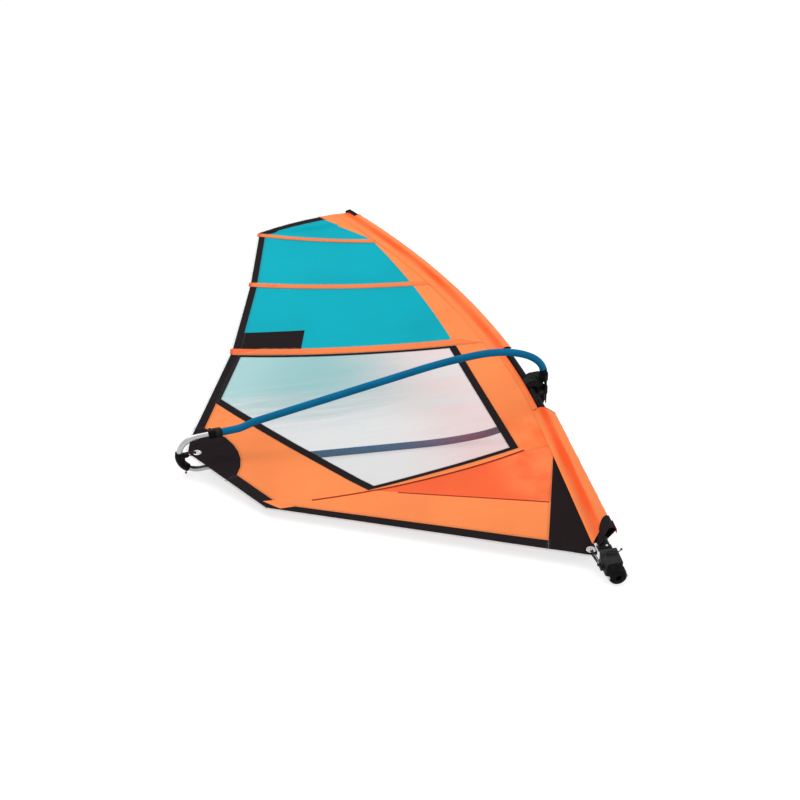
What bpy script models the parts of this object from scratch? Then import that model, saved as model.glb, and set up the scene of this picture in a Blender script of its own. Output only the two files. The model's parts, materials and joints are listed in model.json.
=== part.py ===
# A child's windsurf rig, laid down on its foot, its lower boom arm and its boom tail.
#
# The rig is drawn in its own frame: aft runs from the mast to the clew, high runs up the mast
# from the tack eyelet, and out stands off the upper side of the sail. The last step turns it
# until its three feet lie on the ground, z = 0, with the mast head towards +Y.

import math

import bmesh
import bpy
from mathutils import Matrix, Vector

for old in list(bpy.data.objects):
    bpy.data.objects.remove(old, do_unlink=True)

# Driving sizes, in metres and degrees.
GAP = 0.0003                    # between pieces that seat on each other
SEAM_GAP = 0.0004               # between two pieces of cloth sewn edge to edge

MAST_SET = 0.022                # the mast axis stands this far ahead of the sail's zero line
MAST_FOOT = -0.005
MAST_STRAIGHT = 0.72            # up to this height the mast is straight
MAST_TIP = 2.635
MAST_BEND = 0.503               # how far aft the downhaul pulls the tip
MAST_FOOT_RADIUS = 0.0215
MAST_TIP_RADIUS = 0.0105
MAST_WALL = 0.0024
MAST_JOINT = 1.3103             # height where the two halves meet
FERRULE_HALF = 0.147
FERRULE_WALL = 0.002
MAST_SIDES = 14
MAST_STEPS = 10                 # straight runs that make up the bend

TIP_CAP_RIM = 0.0015
TIP_CAP_HEIGHT = 0.014
TIP_CAP_PLUG = 0.030
HEAD_STRAP_WIDTH = 0.024
HEAD_STRAP_THICK = 0.0018
HEAD_STRAP_REACH = 0.055

SLEEVE_CLOTH = 0.0010
SLEEVE_EASE = 0.0012            # between the mast and the cloth
SLEEVE_SEAM_UPPER = 0.055       # from the mast axis to the sleeve seam, above the cut-out
SLEEVE_SEAM_LOWER = 0.032       # and below it, where the slack cloth lies ahead of the mast
SLEEVE_NOSE_HEAD = 0.031        # front of the upper sleeve ahead of the mast axis, at the head
SLEEVE_NOSE_CUT = 0.034         # and at the cut-out
SLEEVE_SLACK_TOP = 0.0450       # front of the slack lower sleeve, below the cut-out
SLEEVE_SLACK_FOOT = 0.0630      # and near the foot
SLEEVE_SLACK_HALF = 0.0250      # half thickness of the slack sleeve
SLEEVE_TOP = 2.615
SLEEVE_TOP_LEAN = 1.0
CUTOUT_TOP = 1.290
CUTOUT_TOP_LEAN = -0.40
CUTOUT_FOOT = 0.834
CUTOUT_FOOT_LEAN = 0.50
SLEEVE_FOOT = 0.060
SLEEVE_FOOT_LEAN = -0.90
CUTOUT_EDGE = 0.035             # sail edge behind the mast axis in the cut-out
BINDING_WIDTH = 0.008
BINDING_THICK = 0.0024
FLAP_FRONT = 0.019              # the sleeve's two plies reach this near behind the mast axis
FLAP_HALF = 0.0166              # and stand off this far beside it, clear of the boom head's band
FLAP_END = 0.0012               # short of the sleeves above and below

CLOTH_THICK = 0.0008
TAPE_THICK = 0.0016
PATCH_THICK = 0.0016
POCKET_THICK = 0.0044
POCKET_CLOTH = 0.0008
BATTEN_THICK = 0.0020
BATTEN_EDGE = 0.0070            # from the pocket's edge to the batten
BATTEN_CAP = (-0.0080, 0.0034)  # from just outside the leech to the pocket's mouth
BELLY = 0.020                   # depth of the sail's camber as a share of its chord
TACK_FLAT = (0.25, 0.60)        # the sail lies flat below the first and is full above the second
NET_AFT = 0.25                  # the camber is flat within each triangle of this net
NET_HIGH = 0.30

LEECH = [(0.942, 2.545), (1.037, 2.076), (1.175, 1.548), (1.400, 0.965), (1.414, 0.884)]
LEECH_TAPE = [0.029, 0.031, 0.034]
POCKETS = [((0.9465, 2.523), (0.360, 2.322)), ((1.037, 2.076), (0.300, 1.920)),
           ((1.175, 1.548), (0.216, 1.412))]
POCKET_WIDTHS = [0.040, 0.043, 0.048]
HEAD_PATCH_EDGE = ((0.600, 2.590), (0.438, 2.392))
LUFF_PANEL_NECK = 0.014         # the luff panel's width at the head batten
LUFF_PANEL_BOW = 0.022          # how far its rear edge bows towards the mast
HEAD_RISE = 0.095
HEAD_RUN = 0.442
HEAD_TAPE = 0.034
WINDOW_RIGHT = ((0.217, 1.389), (0.132, 0.636))
WINDOW_LOW = (0.754, 0.520)
WINDOW_LEFT = ((0.754, 0.520), (1.259, 1.169))
WINDOW_TAPE = [0.012, 0.032, 0.018, 0.034, 0.012]
FOOT_KINK = (1.151, 0.486)
TACK_CORNER = (0.031, -0.033)
FOOT_TAPE_CLEW = 0.049
FOOT_TAPE_TACK = (0.031, 0.045)   # at the kink and at the tack
CLEW_PATCH_TOP = 1.034
CLEW_PATCH_FOOT = 0.707
CLEW_PATCH_BULGE = 0.066
TACK_PATCH_TOP = 0.566
TACK_PATCH_SIDE = (0.166, 0.076)
TACK_PATCH_NOSE = 0.012
SEAM_END = (0.116, 0.615)
CROSS_SEAM_START = 0.740
CROSS_SEAM_END = (0.104, 0.282)

TACK_EYE = (0.030, -0.004)
CLEW_EYE = (1.379, 0.879)
EYE_HOLE = 0.0080
EYE_BARREL = 0.0100
EYE_RIM = 0.0175
EYE_HALF = 0.0024

LINE_RADIUS = 0.0018
LINE_SIDES = 6
SHEAVE_RADIUS = 0.0105
SHEAVE_GROOVE = 0.0075
SHEAVE_WIDTH = 0.0056
SHEAVE_PITCH = 0.0061
SHEAVE_PIN = 0.0020
SHEAVE_SIDES = 16
EYE_SIDES = 14
CHEEK = 0.0028

EXTENSION_TOP = 0.300
EXTENSION_WALL = 0.0018
COLLAR_RADIUS = 0.0250
COLLAR_HEIGHT = 0.0330
LOCK_RADIUS = 0.0048
LOCK_PROUD = 0.0040
LOCK_TRAVEL = 0.0030
BOX_HALF = 0.0300
BOX_TOP = -0.0400
BOX_FOOT = -0.1210
BOX_FRONT = 0.0310              # ahead of the extension axis
BOX_BACK = 0.0332               # behind it
TACK_DROP = 0.092               # from the tack eyelet to the sheave pin
TACK_SHEAVE_AFT = 0.0142        # the sheave next to the box
CUP_RADIUS = 0.0330
CUP_FOOT = -0.1670
CUP_BORE = 0.0105
CUP_FLOOR = 0.0180
CUP_BUTTON = 0.0055
CUP_BUTTON_HIGH = -0.1580
CUP_BUTTON_PROUD = 0.0035

FAIRING_TOP = (0.150, 0.026)     # upper edge at the front and at the two side edges
FAIRING_FOOT = (0.080, -0.004)   # lower edge there
FAIRING_THICK = 0.0030
FAIRING_NOSE = 0.75             # this share of its half width goes round the sleeve's nose
FAIRING_REACH = 0.55            # the rest lies on the sleeve's flat, this share of the way to the seam
TACK_STRAP_WIDTH = 0.020
TACK_STRAP_THICK = 0.0018
TACK_STRAP_FOOT = 0.072
TACK_STRAP_TOP = 0.128

BOOM_HEAD = (-0.086, 1.028)     # front end of the boom's middle line
BOOM_DROOP = 6.0                # how far the boom runs down towards the clew
ARM_RADIUS = 0.0130
ARM_WALL = 0.0014
GRIP_RADIUS = 0.0150
ARM_SIDES = 10
ARM_START = 0.030               # half width where the arm ends inside the boom head
ARM_FRONT = 0.012               # distance aft of the boom's front end there
SOCKET_END = 0.050
ARM_WIDEST = 0.2065
ARM_WIDEST_AT = 0.300
ARM_SLOPE = 0.135               # how fast the straight run of an arm closes in
ARM_STRAIGHT_FROM = 0.550
ARM_STRAIGHT_TO = 1.220
ARM_PARALLEL_FROM = 1.310
ARM_END = 1.405
TAIL_HALF_WIDTH = 0.0790
TAIL_RADIUS = 0.0112
TAIL_WALL = 0.0014
TAIL_START = 1.318
TAIL_CENTRE = 1.466             # middle of the tail's bend
TAIL_STEPS = 14
TAIL_TRAVEL = 0.050

CLIP_START = 1.366
CLIP_END = 1.420
CLIP_RADIUS = 0.0180
CLIP_LEVER_LENGTH = 0.040
CLIP_LEVER_HALF = 0.0080
CLIP_LEVER_THICK = 0.0060
CLIP_TRUNNION = 0.0018

FITTING_RADIUS = 0.0165
FITTING_UP = 16.0
FITTING_DOWN = 50.0
OUTHAUL_RUN = 0.043             # from the clew eyelet to the sheave pin
CLEAT_LENGTH = 0.034
CLEAT_DEPTH = 0.0100

PAD_THICK = 0.0030
PAD_LENGTH = 0.090
PAD_FIT = 1.012                 # its flat facets clear the mast
HEAD_HALF = 0.0240
SOCKET_RADIUS = 0.0200
BAND_WIDTH = 0.036
BAND_THICK = 0.0025
LEVER_THICK = 0.0100
LEVER_HALF = 0.0150
LEVER_PIN = (0.0910, 0.0360)    # ahead of the mast axis, above the boom's middle line
LEVER_PIN_RADIUS = 0.0025
LEVER_BARREL = 0.0070
BOLT_RADIUS = 0.0048
BOLT_HEAD = 0.0030

GROUND_ROUNDS = 12              # rounds that settle which points of the rig touch the ground


# Colours and finishes.

def finish(name, colour, roughness, metallic=0.0, alpha=1.0):
    material = bpy.data.materials.new(name)
    material.use_nodes = True
    shader = material.node_tree.nodes["Principled BSDF"]
    shader.inputs["Base Color"].default_value = (*colour, 1.0)
    shader.inputs["Roughness"].default_value = roughness
    shader.inputs["Metallic"].default_value = metallic
    shader.inputs["Alpha"].default_value = alpha
    return material


ORANGE = finish("orange_cloth", (1.0, 0.26, 0.08), 0.55)
TEAL = finish("teal_cloth", (0.0, 0.50, 0.64), 0.5)
BLACK_CLOTH = finish("black_cloth", (0.03, 0.025, 0.028), 0.7)
CLEAR = finish("window_film", (0.80, 0.84, 0.84), 0.2, alpha=0.6)
GLASS_FIBRE = finish("glass_fibre", (0.06, 0.06, 0.065), 0.35)
BLUE_FOAM = finish("blue_foam", (0.01, 0.16, 0.38), 0.6)
ALUMINIUM = finish("aluminium", (0.75, 0.75, 0.76), 0.3, 1.0)
BLACK_PLASTIC = finish("black_plastic", (0.02, 0.02, 0.022), 0.4)
GREY_PLASTIC = finish("grey_plastic", (0.12, 0.12, 0.13), 0.4)
RUBBER = finish("black_rubber", (0.03, 0.03, 0.03), 0.8)
STEEL = finish("steel", (0.8, 0.8, 0.8), 0.25, 1.0)
RED_WEBBING = finish("red_webbing", (0.55, 0.02, 0.05), 0.7)
LINE = finish("black_line", (0.03, 0.03, 0.03), 0.7)
BATTEN = finish("batten_fibre", (0.75, 0.72, 0.55), 0.4)


# Placing.

def at(aft, high, out=0.0):
    return Vector((-aft, high, out))


def frame_at(origin, x_axis, y_axis, z_axis):
    matrix = Matrix((x_axis, y_axis, z_axis)).transposed().to_4x4()
    matrix.translation = origin
    return matrix


def empty(name, place=Vector()):
    thing = bpy.data.objects.new(name, None)
    bpy.context.scene.collection.objects.link(thing)
    thing.location = place
    return thing


RIG = empty("rig")
OUT = Vector((0.0, 0.0, 1.0))


def pivot(name, place):
    thing = empty(name, place)
    thing.parent = RIG
    return thing


# Shapes, each a list of points and a list of faces.

def loft(rings, wrap=False):
    """Rings of equally many points joined in order; wrap joins the last to the first."""
    count = len(rings[0])
    points = [point for ring in rings for point in ring]
    faces = []
    spans = len(rings) if wrap else len(rings) - 1
    for i in range(spans):
        a, b = i * count, ((i + 1) % len(rings)) * count
        faces += [(a + k, a + (k + 1) % count, b + (k + 1) % count, b + k) for k in range(count)]
    if not wrap:
        last = (len(rings) - 1) * count
        faces.append(tuple(reversed(range(count))))
        faces.append(tuple(last + k for k in range(count)))
    return points, faces


def pipe(outer, inner):
    """A hollow tube from its outer rings and its inner rings."""
    return loft(outer + inner[::-1], wrap=True)


def ring(centre, x_axis, y_axis, radius, sides):
    turn = 2.0 * math.pi / sides
    angles = [turn * (k + 0.5) for k in range(sides)]
    return [centre + radius * (math.cos(angle) * x_axis + math.sin(angle) * y_axis) for angle in angles]


def lathe(profile, matrix, sides, closed=False):
    """A (radius, height) profile turned about the frame's z axis."""
    rings = []
    for radius, height in profile:
        local = ring(Vector((0.0, 0.0, height)), Vector((1, 0, 0)), Vector((0, 1, 0)), radius, sides)
        rings.append([matrix @ point for point in local])
    return loft(rings, wrap=closed)


def prism(outline, low, high, matrix):
    """An outline in the frame's x-y plane, drawn out along z."""
    return loft([[matrix @ Vector((x, y, z)) for x, y in outline] for z in (low, high)])


def arc(centre, radius, start, end, steps):
    """Points on an arc, angles in degrees."""
    return [(centre[0] + radius * math.cos(math.radians(start + (end - start) * k / steps)),
             centre[1] + radius * math.sin(math.radians(start + (end - start) * k / steps)))
            for k in range(steps + 1)]


def ribbon(path, thickness):
    """The closed outline of a strip that follows a flat path."""
    left, right = [], []
    for k, (x, y) in enumerate(path):
        before, after = path[max(k - 1, 0)], path[min(k + 1, len(path) - 1)]
        run = math.hypot(after[0] - before[0], after[1] - before[1])
        nx, ny = -(after[1] - before[1]) / run, (after[0] - before[0]) / run
        left.append((x + nx * thickness / 2, y + ny * thickness / 2))
        right.append((x - nx * thickness / 2, y - ny * thickness / 2))
    return left + right[::-1]


def cord(path, radius, sides):
    """A round line along a path in space, its rings turned as little as possible."""
    rings = []
    normal = None
    for k, point in enumerate(path):
        heading = (path[min(k + 1, len(path) - 1)] - path[max(k - 1, 0)]).normalized()
        if normal is None:
            normal = heading.orthogonal().normalized()
        normal = (normal - heading * normal.dot(heading)).normalized()
        rings.append(ring(point, normal, heading.cross(normal), radius, sides))
    return loft(rings)


def rounded(shape, width, segments=1, angle=35.0):
    """The shape with its sharp edges rounded."""
    mesh = bmesh.new()
    points = [mesh.verts.new(point) for point in shape[0]]
    for face in shape[1]:
        mesh.faces.new([points[k] for k in face])
    bmesh.ops.recalc_face_normals(mesh, faces=mesh.faces)
    sharp = [edge for edge in mesh.edges if edge.calc_face_angle(0.0) > math.radians(angle)]
    bmesh.ops.bevel(mesh, geom=sharp, offset=width, segments=segments, profile=0.5, affect="EDGES")
    mesh.verts.index_update()
    result = ([vert.co.copy() for vert in mesh.verts],
              [tuple(vert.index for vert in face.verts) for face in mesh.faces])
    mesh.free()
    return result


# Pieces.

def plain_object(name, shape):
    mesh = bpy.data.meshes.new(name)
    mesh.from_pydata([tuple(point) for point in shape[0]], [], shape[1])
    tidy = bmesh.new()
    tidy.from_mesh(mesh)
    bmesh.ops.recalc_face_normals(tidy, faces=tidy.faces)
    tidy.to_mesh(mesh)
    tidy.free()
    thing = bpy.data.objects.new(name, mesh)
    bpy.context.scene.collection.objects.link(thing)
    return thing


def apply_boolean(thing, shape, operation):
    tool = plain_object("tool", shape)
    modifier = thing.modifiers.new("cut", "BOOLEAN")
    modifier.object = tool
    modifier.operation = operation
    bpy.context.view_layer.update()
    depsgraph = bpy.context.evaluated_depsgraph_get()
    result = bpy.data.meshes.new_from_object(thing.evaluated_get(depsgraph))
    thing.modifiers.clear()
    thing.data = result
    bpy.data.objects.remove(tool, do_unlink=True)


def piece(name, shape, material, adds=(), cuts=(), holder=None, crease=35.0):
    """One named sub-part: a shape, what is fused to it and what is cut out of it."""
    thing = plain_object(name, shape)
    for extra in adds:
        apply_boolean(thing, extra, "UNION")
    for hole in cuts:
        apply_boolean(thing, hole, "DIFFERENCE")
    if holder:
        thing.data.transform(Matrix.Translation(-holder.location))
    thing.parent = holder or RIG
    thing.data.materials.clear()
    thing.data.materials.append(material)
    thing.data.name = name
    thing.data.shade_smooth()
    thing.data.set_sharp_from_angle(angle=math.radians(crease))
    return thing


# The mast's bend: a parabola above the straight part, drawn in straight runs that everything
# on the mast shares, so that tubes inside each other keep their clearance.

MAST_RUN = (MAST_TIP - MAST_STRAIGHT) / MAST_STEPS


def bent_aft(station):
    return MAST_BEND * (station / MAST_STEPS) ** 2 - MAST_SET


def mast_aft(high):
    station = (high - MAST_STRAIGHT) / MAST_RUN
    if station <= 0.0:
        return -MAST_SET
    low = min(math.floor(station), MAST_STEPS - 1)
    return bent_aft(low) + (bent_aft(low + 1) - bent_aft(low)) * (station - low)


def mast_slope(high):
    """Of the straight run at this height, or midway between two where they meet."""
    return (mast_aft(high + 1e-4) - mast_aft(high - 1e-4)) / 2e-4


def mast_frame(high):
    """Frame on the mast axis: x ahead of the mast, y up it, z out of the sail."""
    along = at(mast_slope(high), 1.0).normalized()
    return frame_at(at(mast_aft(high), high), along.cross(OUT), along, OUT)


def mast_heights(low, top, margin=0.004):
    stations = [MAST_STRAIGHT + MAST_RUN * k for k in range(MAST_STEPS + 1)]
    return [low] + [high for high in stations if low + margin < high < top - margin] + [top]


def mast_radius(high):
    share = (high - MAST_FOOT) / (MAST_TIP - MAST_FOOT)
    return MAST_FOOT_RADIUS + (MAST_TIP_RADIUS - MAST_FOOT_RADIUS) * share


def mast_ring(high, radius):
    matrix = mast_frame(high)
    return ring(matrix.translation, matrix.col[0].xyz, OUT, radius, MAST_SIDES)


def mast_rings(heights, shrink):
    return [mast_ring(high, mast_radius(high) - shrink) for high in heights]


def mast():
    lower = mast_heights(MAST_FOOT, MAST_JOINT - GAP / 2)
    upper = mast_heights(MAST_JOINT + GAP / 2, MAST_TIP)
    # The ferrule is glued into the lower half and slides into the upper one.
    free = mast_heights(MAST_JOINT - GAP / 2, MAST_JOINT + FERRULE_HALF)
    glued = mast_heights(MAST_JOINT - FERRULE_HALF, MAST_JOINT)[:-1]
    below = [high for high in lower if high < glued[0] - 0.004] + [glued[0]]
    outside = MAST_WALL + GAP
    outer = mast_rings(lower, 0.0) + mast_rings(free, outside)
    inner = mast_rings(below, MAST_WALL) + mast_rings(glued + free[1:], outside + FERRULE_WALL)
    piece("mast_lower", pipe(outer, inner), GLASS_FIBRE)
    piece("mast_upper", pipe(mast_rings(upper, 0.0), mast_rings(upper, MAST_WALL)), GLASS_FIBRE)
    tip = mast_frame(MAST_TIP) @ Matrix.Rotation(math.radians(-90), 4, "X")
    bore = MAST_TIP_RADIUS - MAST_WALL - GAP
    rim = MAST_TIP_RADIUS + TIP_CAP_RIM
    profile = [(bore, -TIP_CAP_PLUG), (bore, GAP), (rim, GAP), (rim, TIP_CAP_HEIGHT * 0.55),
               (rim * 0.85, TIP_CAP_HEIGHT * 0.85), (rim * 0.5, TIP_CAP_HEIGHT)]
    piece("mast_tip_cap", lathe(profile, tip, MAST_SIDES), BLACK_PLASTIC)


# The luff sleeve: a teardrop round the mast, tight above the cut-out and slack below it.

SLEEVE_TIGHT = 1.035            # how far a faceted ring must stand off to clear the mast
SLEEVE_END = 0.050              # the bend's stations this close to a slanted end are left out


def sleeve_front(high):
    if high > CUTOUT_TOP - 0.2:
        share = (SLEEVE_TOP - high) / (SLEEVE_TOP - CUTOUT_TOP)
        return SLEEVE_NOSE_HEAD + (SLEEVE_NOSE_CUT - SLEEVE_NOSE_HEAD) * share
    share = min(1.0, (high - SLEEVE_FOOT) / (CUTOUT_FOOT - SLEEVE_FOOT))
    return SLEEVE_SLACK_FOOT + (SLEEVE_SLACK_TOP - SLEEVE_SLACK_FOOT) * share


def nose_front(high):
    """Front of the lower sleeve near its slanted foot."""
    return sleeve_front(max(SLEEVE_FOOT, high + SLEEVE_FOOT_LEAN * SLEEVE_SLACK_FOOT))


def sleeve_half(high):
    if high > CUTOUT_TOP - 0.2:
        return (mast_radius(high) + SLEEVE_EASE) * SLEEVE_TIGHT + SLEEVE_CLOTH
    return SLEEVE_SLACK_HALF


def sleeve_back(high):
    return (SLEEVE_SEAM_UPPER if high > CUTOUT_TOP - 0.2 else SLEEVE_SEAM_LOWER) - SEAM_GAP / 2


def sleeve_section(high, inset):
    """Points round the sleeve, ahead and out of the mast axis."""
    front, half, back = sleeve_front(high) - inset, sleeve_half(high), sleeve_back(high)
    hip, edge = 0.30 * back, CLOTH_THICK * 0.6
    slant = math.hypot(back - hip, half) / half
    if inset:
        half, back, edge = half - inset, back - inset * slant * 1.2, edge * 0.4
    nose = [(front * x, half * y) for x, y in arc((0.0, 0.0), 1.0, 90.0, -90.0, 8)]
    return [(-back, edge), (-hip, half * 0.93)] + nose + [(-hip, -half * 0.93), (-back, -edge)]


def sleeve_rings(heights, leans, inset):
    rings = []
    for high, lean in zip(heights, leans):
        matrix = mast_frame(high)
        rings.append([matrix @ Vector((x, -lean * x, z)) for x, z in sleeve_section(high, inset)])
    return rings


def sleeve(name, low, top, low_lean, top_lean):
    heights = mast_heights(low, top, SLEEVE_END)
    leans = [low_lean] + [0.0] * (len(heights) - 2) + [top_lean]
    rings = [sleeve_rings(heights, leans, inset) for inset in (0.0, SLEEVE_CLOTH)]
    piece(name, pipe(*rings), ORANGE, crease=50.0)


def seam_point(high, lean=0.0, back=None):
    """A point of the sail's front edge, as (aft, high)."""
    back = sleeve_back(high) + SEAM_GAP / 2 if back is None else back
    point = mast_frame(high) @ Vector((-back, lean * back, 0.0))
    return -point.x, point.y


def flaps():
    """The sleeve's two plies, cut back to the mast's rear between the upper and the lower sleeve."""
    low, top = CUTOUT_FOOT + FLAP_END, CUTOUT_TOP - FLAP_END
    lines = [k * NET_HIGH for k in range(math.ceil(low / NET_HIGH), math.floor(top / NET_HIGH) + 1)]
    heights = sorted(mast_heights(low, top, SLEEVE_END) + lines)
    leans = [CUTOUT_FOOT_LEAN] + [0.0] * (len(heights) - 2) + [CUTOUT_TOP_LEAN]
    behind = CUTOUT_EDGE - 0.001
    stand = BINDING_THICK / 2 + SLEEVE_CLOTH / 2 + 2 * GAP
    for name, side in (("upper", 1.0), ("lower", -1.0)):
        rings = []
        for high, lean in zip(heights, leans):
            rear = camber(*seam_point(high, lean, behind)) + side * stand
            section = ribbon([(-behind, rear), (-FLAP_FRONT, side * FLAP_HALF)], SLEEVE_CLOTH)
            rings.append([mast_frame(high) @ Vector((x, -lean * x, z)) for x, z in section])
        piece("cutout_flap_" + name, loft(rings), ORANGE)


# The sail's surface and its cloth.

def leech_aft(high):
    edge = LEECH + [FOOT_KINK, TACK_CORNER]
    for (aft0, high0), (aft1, high1) in zip(edge, edge[1:]):
        if high1 <= high <= high0:
            return aft1 + (aft0 - aft1) * (high - high1) / (high0 - high1)
    return edge[0][0] if high > edge[0][1] else edge[-1][0]


def belly(aft, high):
    front = mast_aft(high) + SLEEVE_SEAM_UPPER
    chord = leech_aft(high) - front
    if chord <= 0.05 or high > LEECH[0][1]:
        return 0.0
    share = min(1.0, max(0.0, (aft - front) / chord))
    flat = min(1.0, max(0.0, (high - TACK_FLAT[0]) / (TACK_FLAT[1] - TACK_FLAT[0])))
    return -BELLY * flat * chord * 4.0 * share * (1.0 - share)


def camber(aft, high):
    """Height of the sail's surface, flat within each triangle of the net."""
    x, y = aft / NET_AFT, high / NET_HIGH
    i, j = math.floor(x), math.floor(y)
    x, y = x - i, y - j
    corner = [[belly((i + a) * NET_AFT, (j + b) * NET_HIGH) for b in (0, 1)] for a in (0, 1)]
    if x > y:
        return corner[0][0] + (corner[1][0] - corner[0][0]) * x + (corner[1][1] - corner[1][0]) * y
    return corner[0][0] + (corner[0][1] - corner[0][0]) * y + (corner[1][1] - corner[0][1]) * x


def net_lines(outline):
    """The net's lines that may cross an outline, each as a point and a normal."""
    afts, highs = [p[0] for p in outline], [p[1] for p in outline]
    lines = []
    for k in range(math.floor(min(afts) / NET_AFT), math.ceil(max(afts) / NET_AFT) + 1):
        lines.append((at(k * NET_AFT, 0.0), Vector((1, 0, 0))))
    for k in range(math.floor(min(highs) / NET_HIGH), math.ceil(max(highs) / NET_HIGH) + 1):
        lines.append((at(0.0, k * NET_HIGH), Vector((0, 1, 0))))
    slant = at(1.0 / NET_AFT, -1.0 / NET_HIGH)
    corners = [aft / NET_AFT - high / NET_HIGH for aft, high in outline]
    for k in range(math.floor(min(corners)), math.ceil(max(corners)) + 1):
        lines.append((at(k * NET_AFT, 0.0), slant.normalized()))
    return lines


def inset(outline, amounts):
    """The outline with each side moved inwards; side k runs from point k to the next."""
    count = len(outline)
    area = sum(outline[k][0] * outline[(k + 1) % count][1] - outline[(k + 1) % count][0] * outline[k][1]
               for k in range(count))
    side = 1.0 if area > 0 else -1.0
    if not isinstance(amounts, list):
        amounts = [amounts] * count
    lines = []
    for k in range(count):
        (x0, y0), (x1, y1) = outline[k], outline[(k + 1) % count]
        run = math.hypot(x1 - x0, y1 - y0)
        nx, ny = -(y1 - y0) / run * side, (x1 - x0) / run * side
        shift_x, shift_y = nx * amounts[k], ny * amounts[k]
        lines.append(((x0 + shift_x, y0 + shift_y), (x1 + shift_x, y1 + shift_y)))
    result = []
    for k in range(count):
        before, after = lines[k - 1], lines[k]
        bend = abs((before[1][0] - before[0][0]) * (after[1][1] - after[0][1])
                   - (before[1][1] - before[0][1]) * (after[1][0] - after[0][0]))
        size = (math.dist(*before)) * (math.dist(*after))
        result.append(after[0] if bend < 0.02 * size else meet(before, after))
    return result


def meet(line, other):
    """Where two lines cross, each given by two points."""
    (x1, y1), (x2, y2) = line
    (x3, y3), (x4, y4) = other
    across = (x1 - x2) * (y3 - y4) - (y1 - y2) * (x3 - x4)
    a, b = x1 * y2 - y1 * x2, x3 * y4 - y3 * x4
    return ((a * (x3 - x4) - (x1 - x2) * b) / across, (a * (y3 - y4) - (y1 - y2) * b) / across)


def shifted(line, amount):
    """The line moved sideways, to its right as it runs, by an amount."""
    (x0, y0), (x1, y1) = line
    run = math.hypot(x1 - x0, y1 - y0)
    nx, ny = (y1 - y0) / run * amount, -(x1 - x0) / run * amount
    return (x0 + nx, y0 + ny), (x1 + nx, y1 + ny)


def cloth(outline, thickness, lift=0.0, hole=None):
    """A closed sheet over an outline in (aft, high), lift above the sail's surface."""
    outline = inset(outline, SEAM_GAP / 2)
    mesh = bmesh.new()
    outer = [mesh.verts.new(at(*point)) for point in outline]
    if hole:
        inner = [mesh.verts.new(at(*point)) for point in hole]
        count = len(outer)
        for k in range(count):
            mesh.faces.new([outer[k], outer[(k + 1) % count], inner[(k + 1) % count], inner[k]])
    else:
        mesh.faces.new(outer)
    for place, normal in net_lines(outline):
        everything = mesh.verts[:] + mesh.edges[:] + mesh.faces[:]
        bmesh.ops.bisect_plane(mesh, geom=everything, dist=1e-6, plane_co=place, plane_no=normal)
    mesh.normal_update()
    for face in mesh.faces:
        if face.normal.z < 0:
            face.normal_flip()
    mesh.verts.index_update()
    count = len(mesh.verts)
    points = []
    for side in (0.5, -0.5):
        points += [vert.co + OUT * (camber(-vert.co.x, vert.co.y) + lift + side * thickness)
                   for vert in mesh.verts]
    faces = []
    for face in mesh.faces:
        loop = [vert.index for vert in face.verts]
        faces.append(tuple(loop))
        faces.append(tuple(count + k for k in reversed(loop)))
    for edge in mesh.edges:
        if edge.is_boundary:
            a, b = (loop.vert.index for loop in (edge.link_loops[0], edge.link_loops[0].link_loop_next))
            faces.append((b, a, count + a, count + b))
    mesh.free()
    return points, faces


def head_high(aft):
    share = (LEECH[0][0] - aft) / HEAD_RUN
    return LEECH[0][1] + HEAD_RISE * (1.0 - (1.0 - share) ** 2)


def head_curve(start, end, drop, steps=4):
    afts = [start + (end - start) * k / steps for k in range(steps + 1)]
    return [(aft, head_high(aft) - drop) for aft in afts]


def foot_lines():
    """The foot's two outer edges, the inner edges of its tape and the tape's inner corner."""
    rear, front = (LEECH[-1], FOOT_KINK), (FOOT_KINK, TACK_CORNER)
    rear_in = shifted(rear, FOOT_TAPE_CLEW)
    front_in = (shifted(front, FOOT_TAPE_TACK[0])[0], shifted(front, FOOT_TAPE_TACK[1])[1])
    return rear, front, rear_in, front_in, meet(rear_in, front_in)


def seam_curve(start, end, steps):
    """The sewn curve below the window, from the foot's kink to the luff."""
    first = foot_lines()[4]
    afts = [start + (end - start) * k / steps for k in range(steps + 1)]
    return [(aft, first[1] + (SEAM_END[1] - first[1]) * ((first[0] - aft) / (first[0] - SEAM_END[0])) ** 2)
            for aft in afts]


def level(high):
    return (0.0, high), (1.0, high)


def front_crossing(line):
    """Where a line meets the sleeve seam above the cut-out."""
    seam = [seam_point(high) for high in mast_heights(CUTOUT_TOP, SLEEVE_TOP, SLEEVE_END)]
    for lower, upper in zip(seam, seam[1:]):
        cross = meet((lower, upper), line)
        if lower[1] <= cross[1] <= upper[1]:
            return cross
    raise ValueError("the line misses the sleeve seam")


def leech_lines():
    outer = list(zip(LEECH, LEECH[1:]))[:3]
    return outer, [shifted(line, width) for line, width in zip(outer, LEECH_TAPE)]


def panel_corners():
    """The seams under the battens and the two ends of the luff panel's rear edge."""
    inner = leech_lines()[1]
    seams = [POCKETS[0], (meet(inner[0], inner[1]), POCKETS[1][1]),
             shifted(POCKETS[2], -POCKET_WIDTHS[2] / 2)]
    front = Vector(front_crossing(seams[0]))
    neck = front + (Vector(POCKETS[0][0]) - front).normalized() * LUFF_PANEL_NECK
    return seams, tuple(neck), meet(WINDOW_RIGHT, seams[2])


def luff_panel_edge(seams, high_corner, low_corner):
    """The luff panel's bowed rear edge, below and above the seam under the middle batten."""
    curve = bulge(low_corner, high_corner, LUFF_PANEL_BOW, 6)
    for k, (lower, upper) in enumerate(zip(curve, curve[1:])):
        cross = meet((lower, upper), seams[1])
        if lower[1] <= cross[1] <= upper[1]:
            return curve[:k + 1] + [cross], [cross] + curve[k + 1:]
    raise ValueError("the luff panel's edge misses the middle seam")


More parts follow.
